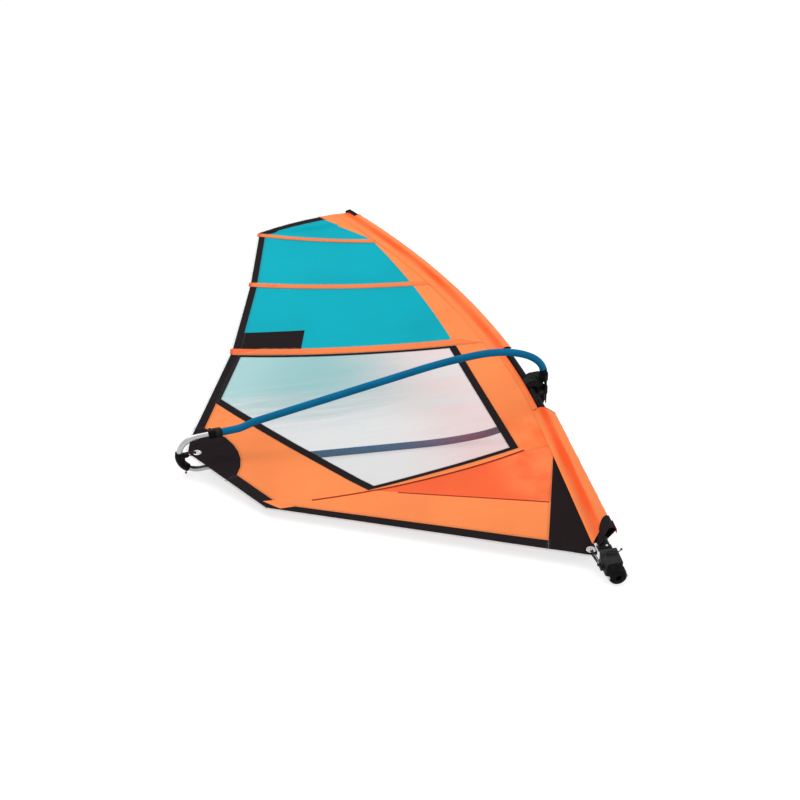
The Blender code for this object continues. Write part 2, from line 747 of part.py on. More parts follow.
def battens():
    """Pockets sewn over the panel seams, each with its batten, whose end cap hooks over the leech."""
    lift = TAPE_THICK / 2 + GAP + POCKET_THICK / 2
    for name, line, width in zip(("head", "middle", "window"), POCKETS, POCKET_WIDTHS):
        start = Vector(line[0])
        heading = (Vector(line[1]) - start).normalized()
        side = Vector((heading.y, -heading.x))

        def strip(first, short, half):
            corners = [start + heading * first + side * half * sign for sign in (1, -1)]
            ends = [Vector(front_crossing(shifted(line, half * sign))) - heading * short
                    for sign in (-1, 1)]
            return [tuple(point) for point in corners + ends]

        half = width / 2 - BATTEN_EDGE
        hollow = cloth(strip(-0.030, 0.010, half + 0.0015), POCKET_THICK - 2 * POCKET_CLOTH, lift)
        pocket = cloth(strip(0.004, 0.0012, width / 2), POCKET_THICK, lift)
        piece("batten_pocket_" + name, pocket, ORANGE, cuts=[hollow])
        outside, inside = BATTEN_CAP
        cap = [start + heading * reach + side * half * sign
               for reach, sign in ((outside, 1), (outside, -1), (inside, -1), (inside, 1))]
        cap = cloth([tuple(point) for point in cap], POCKET_THICK + 0.0008, lift + 0.0004)
        piece("batten_" + name, cloth(strip(-0.003, 0.014, half), BATTEN_THICK, lift), BATTEN, adds=[cap])


def upper_sail():
    outer, inner = leech_lines()
    seams, high_corner, low_corner = panel_corners()
    edge_below, edge_above = luff_panel_edge(seams, high_corner, low_corner)
    patch = HEAD_PATCH_EDGE
    curve = head_curve(0.62, 0.58, 0.0, 1)
    patch_top = meet(patch, (curve[0], curve[1]))
    top = seam_point(SLEEVE_TOP, SLEEVE_TOP_LEAN)
    heights = mast_heights(CUTOUT_FOOT, SLEEVE_TOP, SLEEVE_END)[::-1]
    luff = [top] + [seam_point(high) for high in heights[1:] if high > CUTOUT_TOP + SLEEVE_END]
    cut_top = CUTOUT_TOP - 0.0012
    luff.append(seam_point(cut_top, CUTOUT_TOP_LEAN))

    def cutout(behind):
        top_end = seam_point(cut_top, CUTOUT_TOP_LEAN, behind)
        middle = [seam_point(high, 0.0, behind) for high in heights
                  if CUTOUT_FOOT + 0.02 < high < CUTOUT_TOP - 0.06]
        return [top_end] + middle + [seam_point(CUTOUT_FOOT, CUTOUT_FOOT_LEAN, behind)]

    luff += cutout(CUTOUT_EDGE)
    luff += [seam_point(CUTOUT_FOOT, CUTOUT_FOOT_LEAN), seam_point(MAST_STRAIGHT)]
    luff += [seam_point(SEAM_END[1]), SEAM_END, WINDOW_RIGHT[1]]
    luff += edge_below + edge_above[1:] + [patch[1], patch_top]
    luff += head_curve(patch_top[0], top[0], 0.0, 3)[1:-1]
    piece("luff_panel", cloth(luff, CLOTH_THICK), ORANGE)
    binding = cutout(CUTOUT_EDGE) + cutout(CUTOUT_EDGE - BINDING_WIDTH)[::-1]
    piece("cutout_binding", cloth(binding, BINDING_THICK), BLACK_CLOTH)

    low_curve = head_curve(LEECH[0][0] - 0.034, patch_top[0] + 0.020, HEAD_TAPE)
    tape_corner = meet(inner[0], (low_curve[0], low_curve[1]))
    patch_low = meet(patch, (low_curve[-2], low_curve[-1]))
    low_curve = [tape_corner] + low_curve[1:-1] + [patch_low]
    leech_corner = meet(seams[0], inner[0])
    head = low_curve + [patch[1], high_corner, leech_corner]
    piece("head_panel", cloth(head, CLOTH_THICK), TEAL)
    turns = [meet(inner[0], inner[1]), meet(inner[1], inner[2])]
    upper = [leech_corner] + edge_above[::-1] + turns[:1]
    piece("upper_panel", cloth(upper, CLOTH_THICK), TEAL)
    middle = turns[:1] + edge_below[::-1] + [meet(seams[2], inner[2]), turns[1]]
    piece("middle_panel", cloth(middle, CLOTH_THICK), TEAL)
    tape = head_curve(patch_top[0], LEECH[0][0], 0.0)
    tape = [patch_top] + tape[1:] + LEECH[1:3] + [meet(outer[2], level(CLEW_PATCH_TOP))]
    tape += [meet(inner[2], level(CLEW_PATCH_TOP)), turns[1], turns[0]] + low_curve
    piece("leech_tape", cloth(tape, TAPE_THICK), BLACK_CLOTH)


def lower_sail():
    outer, inner = leech_lines()
    seams, _, low_corner = panel_corners()
    left = meet(WINDOW_LEFT, inner[2])
    frame = [meet(seams[2], inner[2]), low_corner, WINDOW_RIGHT[1], WINDOW_LOW, left]
    film = inset(frame, WINDOW_TAPE)
    piece("window_tape", cloth(frame, TAPE_THICK, hole=inset(film, -SEAM_GAP / 2)), BLACK_CLOTH)
    piece("window", cloth(film, CLOTH_THICK), CLEAR)

    rear, front, rear_in, front_in, kink = foot_lines()
    patch_in = meet(rear_in, level(CLEW_PATCH_FOOT))
    along = (rear[1][0] - rear[0][0], rear[1][1] - rear[0][1])
    patch_out = shifted((patch_in, (patch_in[0] + along[0], patch_in[1] + along[1])), -FOOT_TAPE_CLEW)[0]
    patch_top = meet(inner[2], level(CLEW_PATCH_TOP))
    curve = bulge(patch_in, patch_top, CLEW_PATCH_BULGE, 7)
    low_seam = seam_curve(kink[0], CROSS_SEAM_START, 3)
    high_seam = seam_curve(CROSS_SEAM_START, SEAM_END[0], 4)
    clew = [left, WINDOW_LOW, WINDOW_RIGHT[1], SEAM_END] + high_seam[-2::-1] + low_seam[-2::-1] + curve
    piece("clew_panel", cloth(clew, CLOTH_THICK), ORANGE)

    front_edge = SLEEVE_SEAM_LOWER - MAST_SET
    apex = (front_edge, TACK_PATCH_TOP)
    side = (apex, TACK_PATCH_SIDE)
    cross = meet((low_seam[-1], CROSS_SEAM_END), side)
    piece("foot_panel", cloth(low_seam + [cross, meet(side, front_in)], CLOTH_THICK), ORANGE)
    tack = high_seam + [(front_edge, SEAM_END[1]), apex, cross]
    piece("tack_panel", cloth(tack, CLOTH_THICK), ORANGE)

    tape = [patch_in, kink, meet(side, front_in), meet(side, front), FOOT_KINK, patch_out]
    piece("foot_tape", cloth(tape, TAPE_THICK), BLACK_CLOTH)
    tip = LEECH[-1]
    corner = [patch_top] + curve[-2::-1] + [patch_out]
    corner += [(tip[0] - 0.006, tip[1] - 0.010), (tip[0], tip[1] + 0.006)]
    corner += [LEECH[-2], meet(outer[2], level(CLEW_PATCH_TOP))]
    piece("clew_patch", cloth(corner, PATCH_THICK), BLACK_CLOTH, cuts=[eye_hole(CLEW_EYE)])
    nose = [(TACK_CORNER[0] + 0.010, TACK_CORNER[1] + 0.0046),
            (front_edge + 0.006, TACK_CORNER[1] + 0.001),
            (front_edge + 0.001, TACK_CORNER[1] + TACK_PATCH_NOSE)]
    piece("tack_patch", cloth([apex, meet(side, front)] + nose, PATCH_THICK), BLACK_CLOTH,
          cuts=[eye_hole(TACK_EYE)])
    piece("eyelet_tack", eyelet(TACK_EYE), STEEL)
    piece("eyelet_clew", eyelet(CLEW_EYE), STEEL)


def bulge(start, end, height, steps):
    """An arc from start to end that stands off its chord, to its left, by a height."""
    chord = math.dist(start, end)
    radius = (chord * chord / 4 + height * height) / (2 * height)
    half = math.asin(chord / 2 / radius)
    back_x, back_y = (start[0] - end[0]) / chord, (start[1] - end[1]) / chord
    off_x, off_y = back_y, -back_x
    centre_x = (start[0] + end[0]) / 2 + off_x * (height - radius)
    centre_y = (start[1] + end[1]) / 2 + off_y * (height - radius)
    points = []
    for k in range(steps + 1):
        turn = half - 2 * half * k / steps
        points.append((centre_x + radius * (math.sin(turn) * back_x + math.cos(turn) * off_x),
                       centre_y + radius * (math.sin(turn) * back_y + math.cos(turn) * off_y)))
    return points


def eye_frame(eye):
    """On the sail's surface, with z along its normal."""
    place = at(*eye, camber(*eye))
    rise = (camber(eye[0] - 1e-3, eye[1]) - camber(eye[0] + 1e-3, eye[1])) / 2e-3
    climb = (camber(eye[0], eye[1] + 1e-3) - camber(eye[0], eye[1] - 1e-3)) / 2e-3
    normal = Vector((-rise, -climb, 1.0)).normalized()
    side = Vector((0, 1, 0)).cross(normal).normalized()
    return frame_at(place, side, normal.cross(side), normal)


def eye_hole(eye):
    size = EYE_BARREL + GAP
    return lathe([(size, -0.01), (size, 0.01)], eye_frame(eye), EYE_SIDES)


def eyelet(eye):
    web = PATCH_THICK / 2 + GAP
    lip = EYE_RIM - 0.0010
    profile = [(EYE_HOLE, -EYE_HALF), (lip, -EYE_HALF), (EYE_RIM, -web - 0.0004), (EYE_RIM, -web),
               (EYE_BARREL, -web), (EYE_BARREL, web), (EYE_RIM, web), (EYE_RIM, web + 0.0004),
               (lip, EYE_HALF), (EYE_HOLE, EYE_HALF)]
    return lathe(profile, eye_frame(eye), EYE_SIDES, closed=True)


# Head strap, tack fairing and tack strap.

def fairing_spot(turn, high, stand):
    """A point of the fairing ahead and out of the mast axis: round the nose, then on the flat."""
    half, back = sleeve_half(high), sleeve_back(high)
    share = abs(turn) / FAIRING_NOSE
    if share <= 1.0:
        angle = math.radians(90.0 * share)
        x, z = (nose_front(high) + stand) * math.cos(angle), (half + stand) * math.sin(angle)
    else:
        hip = Vector((-0.30 * back - 0.4 * stand, half * 0.93 + stand))
        seam = Vector((-back - 0.7 * stand, 0.7 * stand))
        share = (abs(turn) - FAIRING_NOSE) / (1.0 - FAIRING_NOSE)
        along = max(0.0, share - 0.5) * 2.0 * FAIRING_REACH
        edge = Vector((0.0, half + stand)).lerp(hip, min(1.0, share * 2.0)) + (seam - hip) * along
        x, z = edge
    return x, math.copysign(z, turn)


def webbing():
    matrix = mast_frame(MAST_TIP)
    over = TIP_CAP_HEIGHT + GAP + HEAD_STRAP_THICK / 2 + 0.0004
    half = sleeve_half(SLEEVE_TOP) + HEAD_STRAP_THICK / 2 + GAP * 2
    near = [(-HEAD_STRAP_REACH, half), (-0.004, half), (0.010, half * 0.96), (over + 0.002, half * 0.60)]
    path = near + [(along, -out) for along, out in near[::-1]]
    turn = matrix @ Matrix(((0, 0, 1, 0), (1, 0, 0, 0), (0, 1, 0, 0), (0, 0, 0, 1)))
    strap = prism(ribbon(path, HEAD_STRAP_THICK), -HEAD_STRAP_WIDTH / 2, HEAD_STRAP_WIDTH / 2, turn)
    piece("head_strap", strap, BLACK_CLOTH)

    columns = 16
    rings = []
    for share in (0.0, 0.5, 1.0):
        outside, inside = [], []
        for k in range(columns + 1):
            turn_at = -1.0 + 2.0 * k / columns
            foot, top = (front + (side - front) * min(1.0, abs(turn_at) / 0.85) ** 2
                         for front, side in (FAIRING_FOOT, FAIRING_TOP))
            high = foot + (top - foot) * share
            frame = mast_frame(high)
            for points, extra in ((outside, FAIRING_THICK), (inside, 0.0)):
                x, z = fairing_spot(turn_at, high, 2 * GAP + extra)
                points.append(frame @ Vector((x, 0.0, z)))
        rings.append(outside + inside[::-1])
    piece("tack_fairing", loft(rings), BLACK_CLOTH)

    rings = []
    for high in (TACK_STRAP_FOOT, (TACK_STRAP_FOOT + TACK_STRAP_TOP) / 2, TACK_STRAP_TOP):
        near = nose_front(high) + FAIRING_THICK + 4 * GAP
        frame = mast_frame(high)
        far, half = near + TACK_STRAP_THICK, TACK_STRAP_WIDTH / 2
        corners = ((near, -half), (far, -half), (far, half), (near, half))
        rings.append([frame @ Vector((x, 0.0, z)) for x, z in corners])
    piece("tack_strap", loft(rings), RED_WEBBING)


# Sheaves and the lines that run over them.

def sheave(name, matrix, holder):
    half = SHEAVE_WIDTH / 2
    bore = SHEAVE_PIN + GAP
    profile = [(bore, -half), (SHEAVE_RADIUS, -half), (SHEAVE_RADIUS, -half + 0.0003),
               (SHEAVE_GROOVE, -0.0017), (SHEAVE_GROOVE, 0.0017),
               (SHEAVE_RADIUS, half - 0.0003), (SHEAVE_RADIUS, half), (bore, half)]
    return piece(name, lathe(profile, matrix, SHEAVE_SIDES, closed=True), GREY_PLASTIC, holder=holder)


def becket_tab(frame, near):
    """The tab beside a cheek that the line's end is tied to: its shape, its hole and the line's place."""
    top = near + CHEEK
    tab = prism([(-0.0064, 0.0028), (-0.0022, 0.0028), (-0.0022, 0.0118), (-0.0064, 0.0118)],
                near + CHEEK / 2, top + 0.0078, frame)
    place = Vector((0.0, 0.0074, top + 0.0038))
    turn = frame @ Matrix.Translation(place) @ Matrix.Rotation(math.radians(90), 4, "Y")
    hole = lathe([(LINE_RADIUS + GAP, -0.012), (LINE_RADIUS + GAP, 0.012)], turn, 8)
    return tab, hole, place


def purchase(becket, passes, sheaves, run, side):
    """Points of a line rove between an eyelet and sheaves, as (along the pin, run, out).

    It starts at a becket on one side, and each pass goes through the eyelet, back on the other
    side and round a sheave to the first side again.
    """
    wrap = SHEAVE_GROOVE + LINE_RADIUS + 0.00055
    lift = EYE_HALF + LINE_RADIUS + 0.0017
    edge = EYE_HOLE
    points = [(becket.z, run + becket.x + 0.0026, side * becket.y),
              (becket.z, run + becket.x - 0.008, side * becket.y)]
    lead = run - SHEAVE_RADIUS * 0.6
    for number, (through, wheel) in enumerate(zip(passes, sheaves)):
        if number:
            points.append((sheaves[number - 1], lead, side * wrap))
        loop = [(edge + 0.010, lift), (edge + 0.001, lift),
                (edge - 0.0020, lift * 0.84), (edge - 0.0031, lift * 0.42)]
        points += [(through, reach, side * out) for reach, out in loop]
        points += [(through, reach, -side * out) for reach, out in loop[::-1]]
        points.append((wheel, lead, -side * wrap))
        for k in range(7):
            angle = math.radians(-90.0 + 30.0 * k)
            points.append((wheel, run + wrap * math.cos(angle), side * wrap * math.sin(angle)))
    return points


# Mast extension, with its collar, downhaul block and cup.

def extension_radius():
    return mast_radius(EXTENSION_TOP) - MAST_WALL - GAP


def extension():
    axis = Matrix.Rotation(math.radians(-90), 4, "X")

    def on_axis(high):
        return frame_at(at(-MAST_SET, high), Vector((1, 0, 0)), Vector((0, 1, 0)), OUT) @ axis

    holder = pivot("extension_axis", at(-MAST_SET, 0.0))
    tube = extension_radius()
    ends = (CUP_FOOT + CUP_FLOOR + GAP, EXTENSION_TOP)
    rings = [[ring(at(-MAST_SET, high), Vector((1, 0, 0)), OUT, radius, MAST_SIDES) for high in ends]
             for radius in (tube, tube - EXTENSION_WALL)]
    piece("extension_tube", pipe(*rings), ALUMINIUM, holder=holder)

    collar_top = MAST_FOOT - GAP
    bore = tube + GAP
    profile = [(bore, -COLLAR_HEIGHT), (COLLAR_RADIUS - 0.002, -COLLAR_HEIGHT),
               (COLLAR_RADIUS, -COLLAR_HEIGHT + 0.002), (COLLAR_RADIUS, -0.002),
               (COLLAR_RADIUS - 0.002, 0.0), (bore, 0.0)]
    lock_high = collar_top - COLLAR_HEIGHT / 2
    lock_frame = frame_at(at(-MAST_SET, lock_high), Vector((1, 0, 0)), Vector((0, 1, 0)), OUT)
    lock_bore = LOCK_RADIUS + GAP
    lock_hole = lathe([(lock_bore, bore * 0.5), (lock_bore, COLLAR_RADIUS + 0.01)], lock_frame, 16)
    piece("extension_collar", lathe(profile, on_axis(collar_top), 20, closed=True), BLACK_PLASTIC,
          cuts=[lock_hole])
    inner_end = tube + GAP + LOCK_TRAVEL
    lock_holder = pivot("collar_lock_axis", at(-MAST_SET, lock_high))
    stud = [(LOCK_RADIUS, inner_end), (LOCK_RADIUS, COLLAR_RADIUS + LOCK_PROUD - 0.001),
            (LOCK_RADIUS - 0.001, COLLAR_RADIUS + LOCK_PROUD)]
    piece("collar_lock", lathe(stud, lock_frame, 16), GREY_PLASTIC, holder=lock_holder)

    # The block round the tube carries two sheaves behind it and a jam cleat on its upper face.
    block_frame = frame_at(at(-MAST_SET, 0.0), Vector((1, 0, 0)), Vector((0, 1, 0)), OUT)
    outline = [(-BOX_BACK, BOX_FOOT), (BOX_FRONT, BOX_FOOT), (BOX_FRONT, BOX_TOP), (-BOX_BACK, BOX_TOP)]
    body = rounded(prism(outline, -BOX_HALF, BOX_HALF, block_frame), 0.005, 2)
    pin_high = TACK_EYE[1] - TACK_DROP
    first, second = TACK_SHEAVE_AFT, TACK_SHEAVE_AFT + SHEAVE_PITCH
    cheek_near = second + SHEAVE_WIDTH / 2 + GAP
    cheek_frame = frame_at(at(0.0, pin_high), Vector((0, -1, 0)), OUT, Vector((-1, 0, 0)))
    swing = SHEAVE_RADIUS + 0.0030
    cheek = [(-0.007, -0.007), (-0.007, 0.007), (0.0, 0.0085), (swing, 0.0085),
             (swing + 0.004, 0.005), (swing + 0.004, -0.005), (swing, -0.0085), (0.0, -0.0085)]
    cheek = rounded(prism(cheek, cheek_near, cheek_near + CHEEK, cheek_frame), 0.0008)
    bridge = prism([(swing, -0.0075), (swing, 0.0075), (swing + 0.0036, 0.0045), (swing + 0.0036, -0.0045)],
                   BOX_BACK - MAST_SET - 0.004, cheek_near + CHEEK / 2, cheek_frame)
    pin = lathe([(SHEAVE_PIN, BOX_BACK - MAST_SET - 0.004), (SHEAVE_PIN, cheek_near + CHEEK + 0.0008)],
                cheek_frame, 12)
    tab, tab_hole, becket_place = becket_tab(cheek_frame, cheek_near)
    cleat_frame = frame_at(at(-0.027, pin_high + 0.026, BOX_HALF), Vector((0, 1, 0)), OUT, Vector((1, 0, 0)))
    cleat = rounded(prism([(-0.008, -0.004), (0.008, -0.004), (0.0065, CLEAT_DEPTH), (-0.0065, CLEAT_DEPTH)],
                          -CLEAT_LENGTH / 2, CLEAT_LENGTH / 2, cleat_frame), 0.0008)
    groove = prism([(-LINE_RADIUS - GAP, 0.0030), (LINE_RADIUS + GAP, 0.0030), (LINE_RADIUS + 0.0016, 0.02),
                    (-LINE_RADIUS - 0.0016, 0.02)], -CLEAT_LENGTH, CLEAT_LENGTH, cleat_frame)
    tube_bore = lathe([(bore, BOX_FOOT - 0.02), (bore, BOX_TOP + 0.02)], on_axis(0.0), MAST_SIDES)
    piece("pulley_box", body, BLACK_PLASTIC, adds=[cheek, bridge, tab, pin, cleat],
          cuts=[groove, tube_bore, tab_hole], holder=holder)
    for name, aft in (("downhaul_sheave_front", first), ("downhaul_sheave_rear", second)):
        place = at(aft, pin_high)
        axle = pivot(name + "_axis", place)
        sheave(name, frame_at(place, Vector((0, -1, 0)), OUT, Vector((-1, 0, 0))), axle)

    spread = SHEAVE_PITCH / 2
    eye = TACK_EYE[0]
    route = purchase(becket_place, (eye + spread, eye - spread), (second, first), TACK_DROP, 1.0)
    points = [at(aft, TACK_EYE[1] - run, out + camber(*TACK_EYE)) for aft, run, out in route]
    cleat_high = pin_high + 0.026
    line_out = BOX_HALF + 0.0030 + GAP + LINE_RADIUS
    points += [at(first + 0.0006, pin_high + 0.008, 0.0102),
               at(first + 0.0008, pin_high + 0.0165, 0.018),
               at(first - 0.0002, pin_high + 0.0225, 0.0285),
               at(first - 0.0065, pin_high + 0.0255, line_out - 0.0002),
               at(-0.006, cleat_high, line_out), at(-0.030, cleat_high, line_out),
               at(-0.050, cleat_high, line_out), at(-0.060, cleat_high + 0.006, line_out - 0.001),
               at(-0.066, cleat_high + 0.016, line_out - 0.006)]
    knot = lathe([(0.0022, -0.0046), (0.0050, -0.0022), (0.0050, 0.0022), (0.0022, 0.0046)],
                 frame_at(points[-1], Vector((1, 0, 0)), OUT, at(-0.35, 1.0).normalized()), 8)
    becket = lathe([(0.0022, -0.0018), (0.0040, -0.0005), (0.0040, 0.0020), (0.0022, 0.0036)],
                   frame_at(points[0], Vector((1, 0, 0)), OUT, Vector((0, -1, 0))), 8)
    piece("downhaul_line", cord(points, LINE_RADIUS, LINE_SIDES), LINE, adds=[knot, becket])

    cup_top = BOX_FOOT - GAP
    shelf = CUP_FOOT + CUP_FLOOR
    profile = [(CUP_BORE, CUP_FOOT), (CUP_RADIUS - 0.008, CUP_FOOT),
               (CUP_RADIUS - 0.0025, CUP_FOOT + 0.0025), (CUP_RADIUS, CUP_FOOT + 0.008),
               (CUP_RADIUS, cup_top - 0.006), (CUP_RADIUS - 0.003, cup_top),
               (bore, cup_top), (bore, shelf), (CUP_BORE, shelf)]
    buttons = []
    button_bore = CUP_BUTTON + GAP
    for sign in (-1, 1):
        frame = frame_at(at(-MAST_SET, CUP_BUTTON_HIGH), Vector((0, 1, 0)), OUT, Vector((sign, 0, 0)))
        buttons.append(lathe([(button_bore, CUP_BORE * 0.5), (button_bore, CUP_RADIUS + 0.01)], frame, 16))
    piece("base_cup", lathe(profile, on_axis(0.0), 20, closed=True), BLACK_PLASTIC, cuts=buttons,
          holder=holder)
    for name, sign in (("cup_button_front", 1), ("cup_button_rear", -1)):
        frame = frame_at(at(-MAST_SET, CUP_BUTTON_HIGH), Vector((0, 1, 0)), OUT, Vector((sign, 0, 0)))
        inner_end = CUP_BORE + CUP_BUTTON_PROUD + 0.001
        end = CUP_RADIUS + CUP_BUTTON_PROUD
        profile = [(CUP_BUTTON, inner_end), (CUP_BUTTON, end - 0.001), (CUP_BUTTON - 0.001, end)]
        button_holder = pivot(name + "_axis", at(-MAST_SET, CUP_BUTTON_HIGH))
        piece(name, lathe(profile, frame, 16), GREY_PLASTIC, holder=button_holder)


# The boom. Its own frame has x back along its middle line, y across it towards the head and z out.

def boom_frame():
    droop = math.radians(BOOM_DROOP)
    back = at(math.cos(droop), -math.sin(droop))
    return frame_at(at(*BOOM_HEAD), back, back.cross(OUT), OUT)


BOOM = boom_frame()


def on_boom(back, across=0.0, out=0.0):
    return BOOM @ Vector((back, across, out))


def arm_half_width(back):
    if back <= ARM_WIDEST_AT:
        share = (ARM_WIDEST_AT - back) / (ARM_WIDEST_AT - ARM_FRONT)
        start = SOCKET_END + 0.002
        return start + (ARM_WIDEST - start) * math.sqrt(max(0.0, 1.0 - share * share))
    eased = ARM_STRAIGHT_FROM - ARM_WIDEST_AT
    if back <= ARM_STRAIGHT_FROM:
        return ARM_WIDEST - ARM_SLOPE * (back - ARM_WIDEST_AT) ** 2 / (2.0 * eased)
    run = min(back, ARM_STRAIGHT_TO) - ARM_STRAIGHT_FROM
    straight = ARM_WIDEST - ARM_SLOPE * eased / 2.0 - ARM_SLOPE * run
    if back <= ARM_STRAIGHT_TO:
        return straight
    length = ARM_PARALLEL_FROM - ARM_STRAIGHT_TO
    t = min(1.0, (back - ARM_STRAIGHT_TO) / length)
    return (straight * (1 - t) ** 2 * (1 + 2 * t) - ARM_SLOPE * length * t * (1 - t) ** 2
            + TAIL_HALF_WIDTH * t * t * (3 - 2 * t))


def arm_line():
    """Points of an arm as (back, out), from inside the boom head to its open end."""
    quarter = 8
    front = []
    for k in range(quarter + 1):
        back = ARM_WIDEST_AT - (ARM_WIDEST_AT - ARM_FRONT) * math.cos(math.pi / 2 * k / quarter)
        front.append((back, arm_half_width(back)))
    backs = [0.375, 0.460, ARM_STRAIGHT_FROM, ARM_STRAIGHT_TO]
    backs += [ARM_STRAIGHT_TO + (ARM_PARALLEL_FROM - ARM_STRAIGHT_TO) * t for t in (0.35, 0.7, 1.0)]
    rest = [(back, arm_half_width(back)) for back in backs]
    return front + rest


def arm_rings(line, side, radius):
    rings = []
    across = BOOM.col[1].xyz
    path = [on_boom(back, 0.0, side * out) for back, out in line]
    runs = [(after - before).normalized() for before, after in zip(path, path[1:])]
    for place, coming, going in zip(path, runs[:1] + runs, runs + runs[-1:]):
        heading = (coming + going).normalized()
        rings.append(ring(place, across, heading.cross(across), radius, ARM_SIDES))
    return rings


def boom_arms():
    line = arm_line()
    tube_line = [(ARM_FRONT, ARM_START)] + line + [(ARM_END, TAIL_HALF_WIDTH)]
    grip_line = [(ARM_FRONT, SOCKET_END + GAP)] + line + [(CLIP_START - GAP, TAIL_HALF_WIDTH)]
    for name, side in (("upper", 1.0), ("lower", -1.0)):
        tube = pipe(arm_rings(tube_line, side, ARM_RADIUS),
                    arm_rings(tube_line, side, ARM_RADIUS - ARM_WALL))
        piece("boom_arm_" + name, tube, ALUMINIUM)
        grip = pipe(arm_rings(grip_line, side, GRIP_RADIUS), arm_rings(grip_line, side, ARM_RADIUS + GAP))
        piece("grip_" + name, grip, BLUE_FOAM)


def clips():
    for name, side in (("upper", 1.0), ("lower", -1.0)):
        axis = frame_at(on_boom(0.0, 0.0, side * TAIL_HALF_WIDTH), BOOM.col[1].xyz, OUT, BOOM.col[0].xyz)
        small, large = TAIL_RADIUS + GAP, ARM_RADIUS + GAP
        step = ARM_END + GAP
        profile = [(large, CLIP_START), (CLIP_RADIUS - 0.002, CLIP_START), (CLIP_RADIUS, CLIP_START + 0.003),
                   (CLIP_RADIUS, CLIP_END - 0.004), (CLIP_RADIUS - 0.003, CLIP_END), (small, CLIP_END),
                   (small, step), (large, step)]
        hinge_back = CLIP_END - 0.010
        hinge_across = CLIP_RADIUS + GAP + CLIP_LEVER_THICK / 2 + 0.0006
        ear_low = CLIP_LEVER_HALF + GAP
        ears, holes = [], []
        side_frame = frame_at(on_boom(hinge_back, hinge_across, side * TAIL_HALF_WIDTH),
                              BOOM.col[0].xyz, BOOM.col[1].xyz, OUT)
        for sign in (-1, 1):
            ear = [(-0.0045, -0.0075), (0.0045, -0.0095), (0.0045, 0.0020),
                   (0.0020, 0.0042), (-0.0020, 0.0042), (-0.0045, 0.0020)]
            low, high = sorted((sign * ear_low, sign * (ear_low + CHEEK)))
            ears.append(prism(ear, low, high, side_frame))
        holes.append(lathe([(CLIP_TRUNNION + GAP, -0.02), (CLIP_TRUNNION + GAP, 0.02)], side_frame, 12))
        piece("clip_" + name, lathe(profile, axis, 18, closed=True), BLACK_PLASTIC, adds=ears, cuts=holes)
        thick = CLIP_LEVER_THICK / 2
        end = -CLIP_LEVER_LENGTH
        outline = arc((0.0, 0.0), thick, -90.0, 90.0, 4)
        outline += [(end / 2, thick), (end + 0.004, thick * 0.7), (end, thick * 1.4),
                    (end, thick * 0.2), (end + 0.004, -thick)]
        lever = prism(outline, -CLIP_LEVER_HALF, CLIP_LEVER_HALF, side_frame)
        trunnion = lathe([(CLIP_TRUNNION, -ear_low - CHEEK), (CLIP_TRUNNION, ear_low + CHEEK)],
                         side_frame, 12)
        holder = pivot("clip_lever_%s_axis" % name, side_frame.translation)
        piece("clip_lever_" + name, lever, BLACK_PLASTIC, adds=[trunnion], holder=holder)


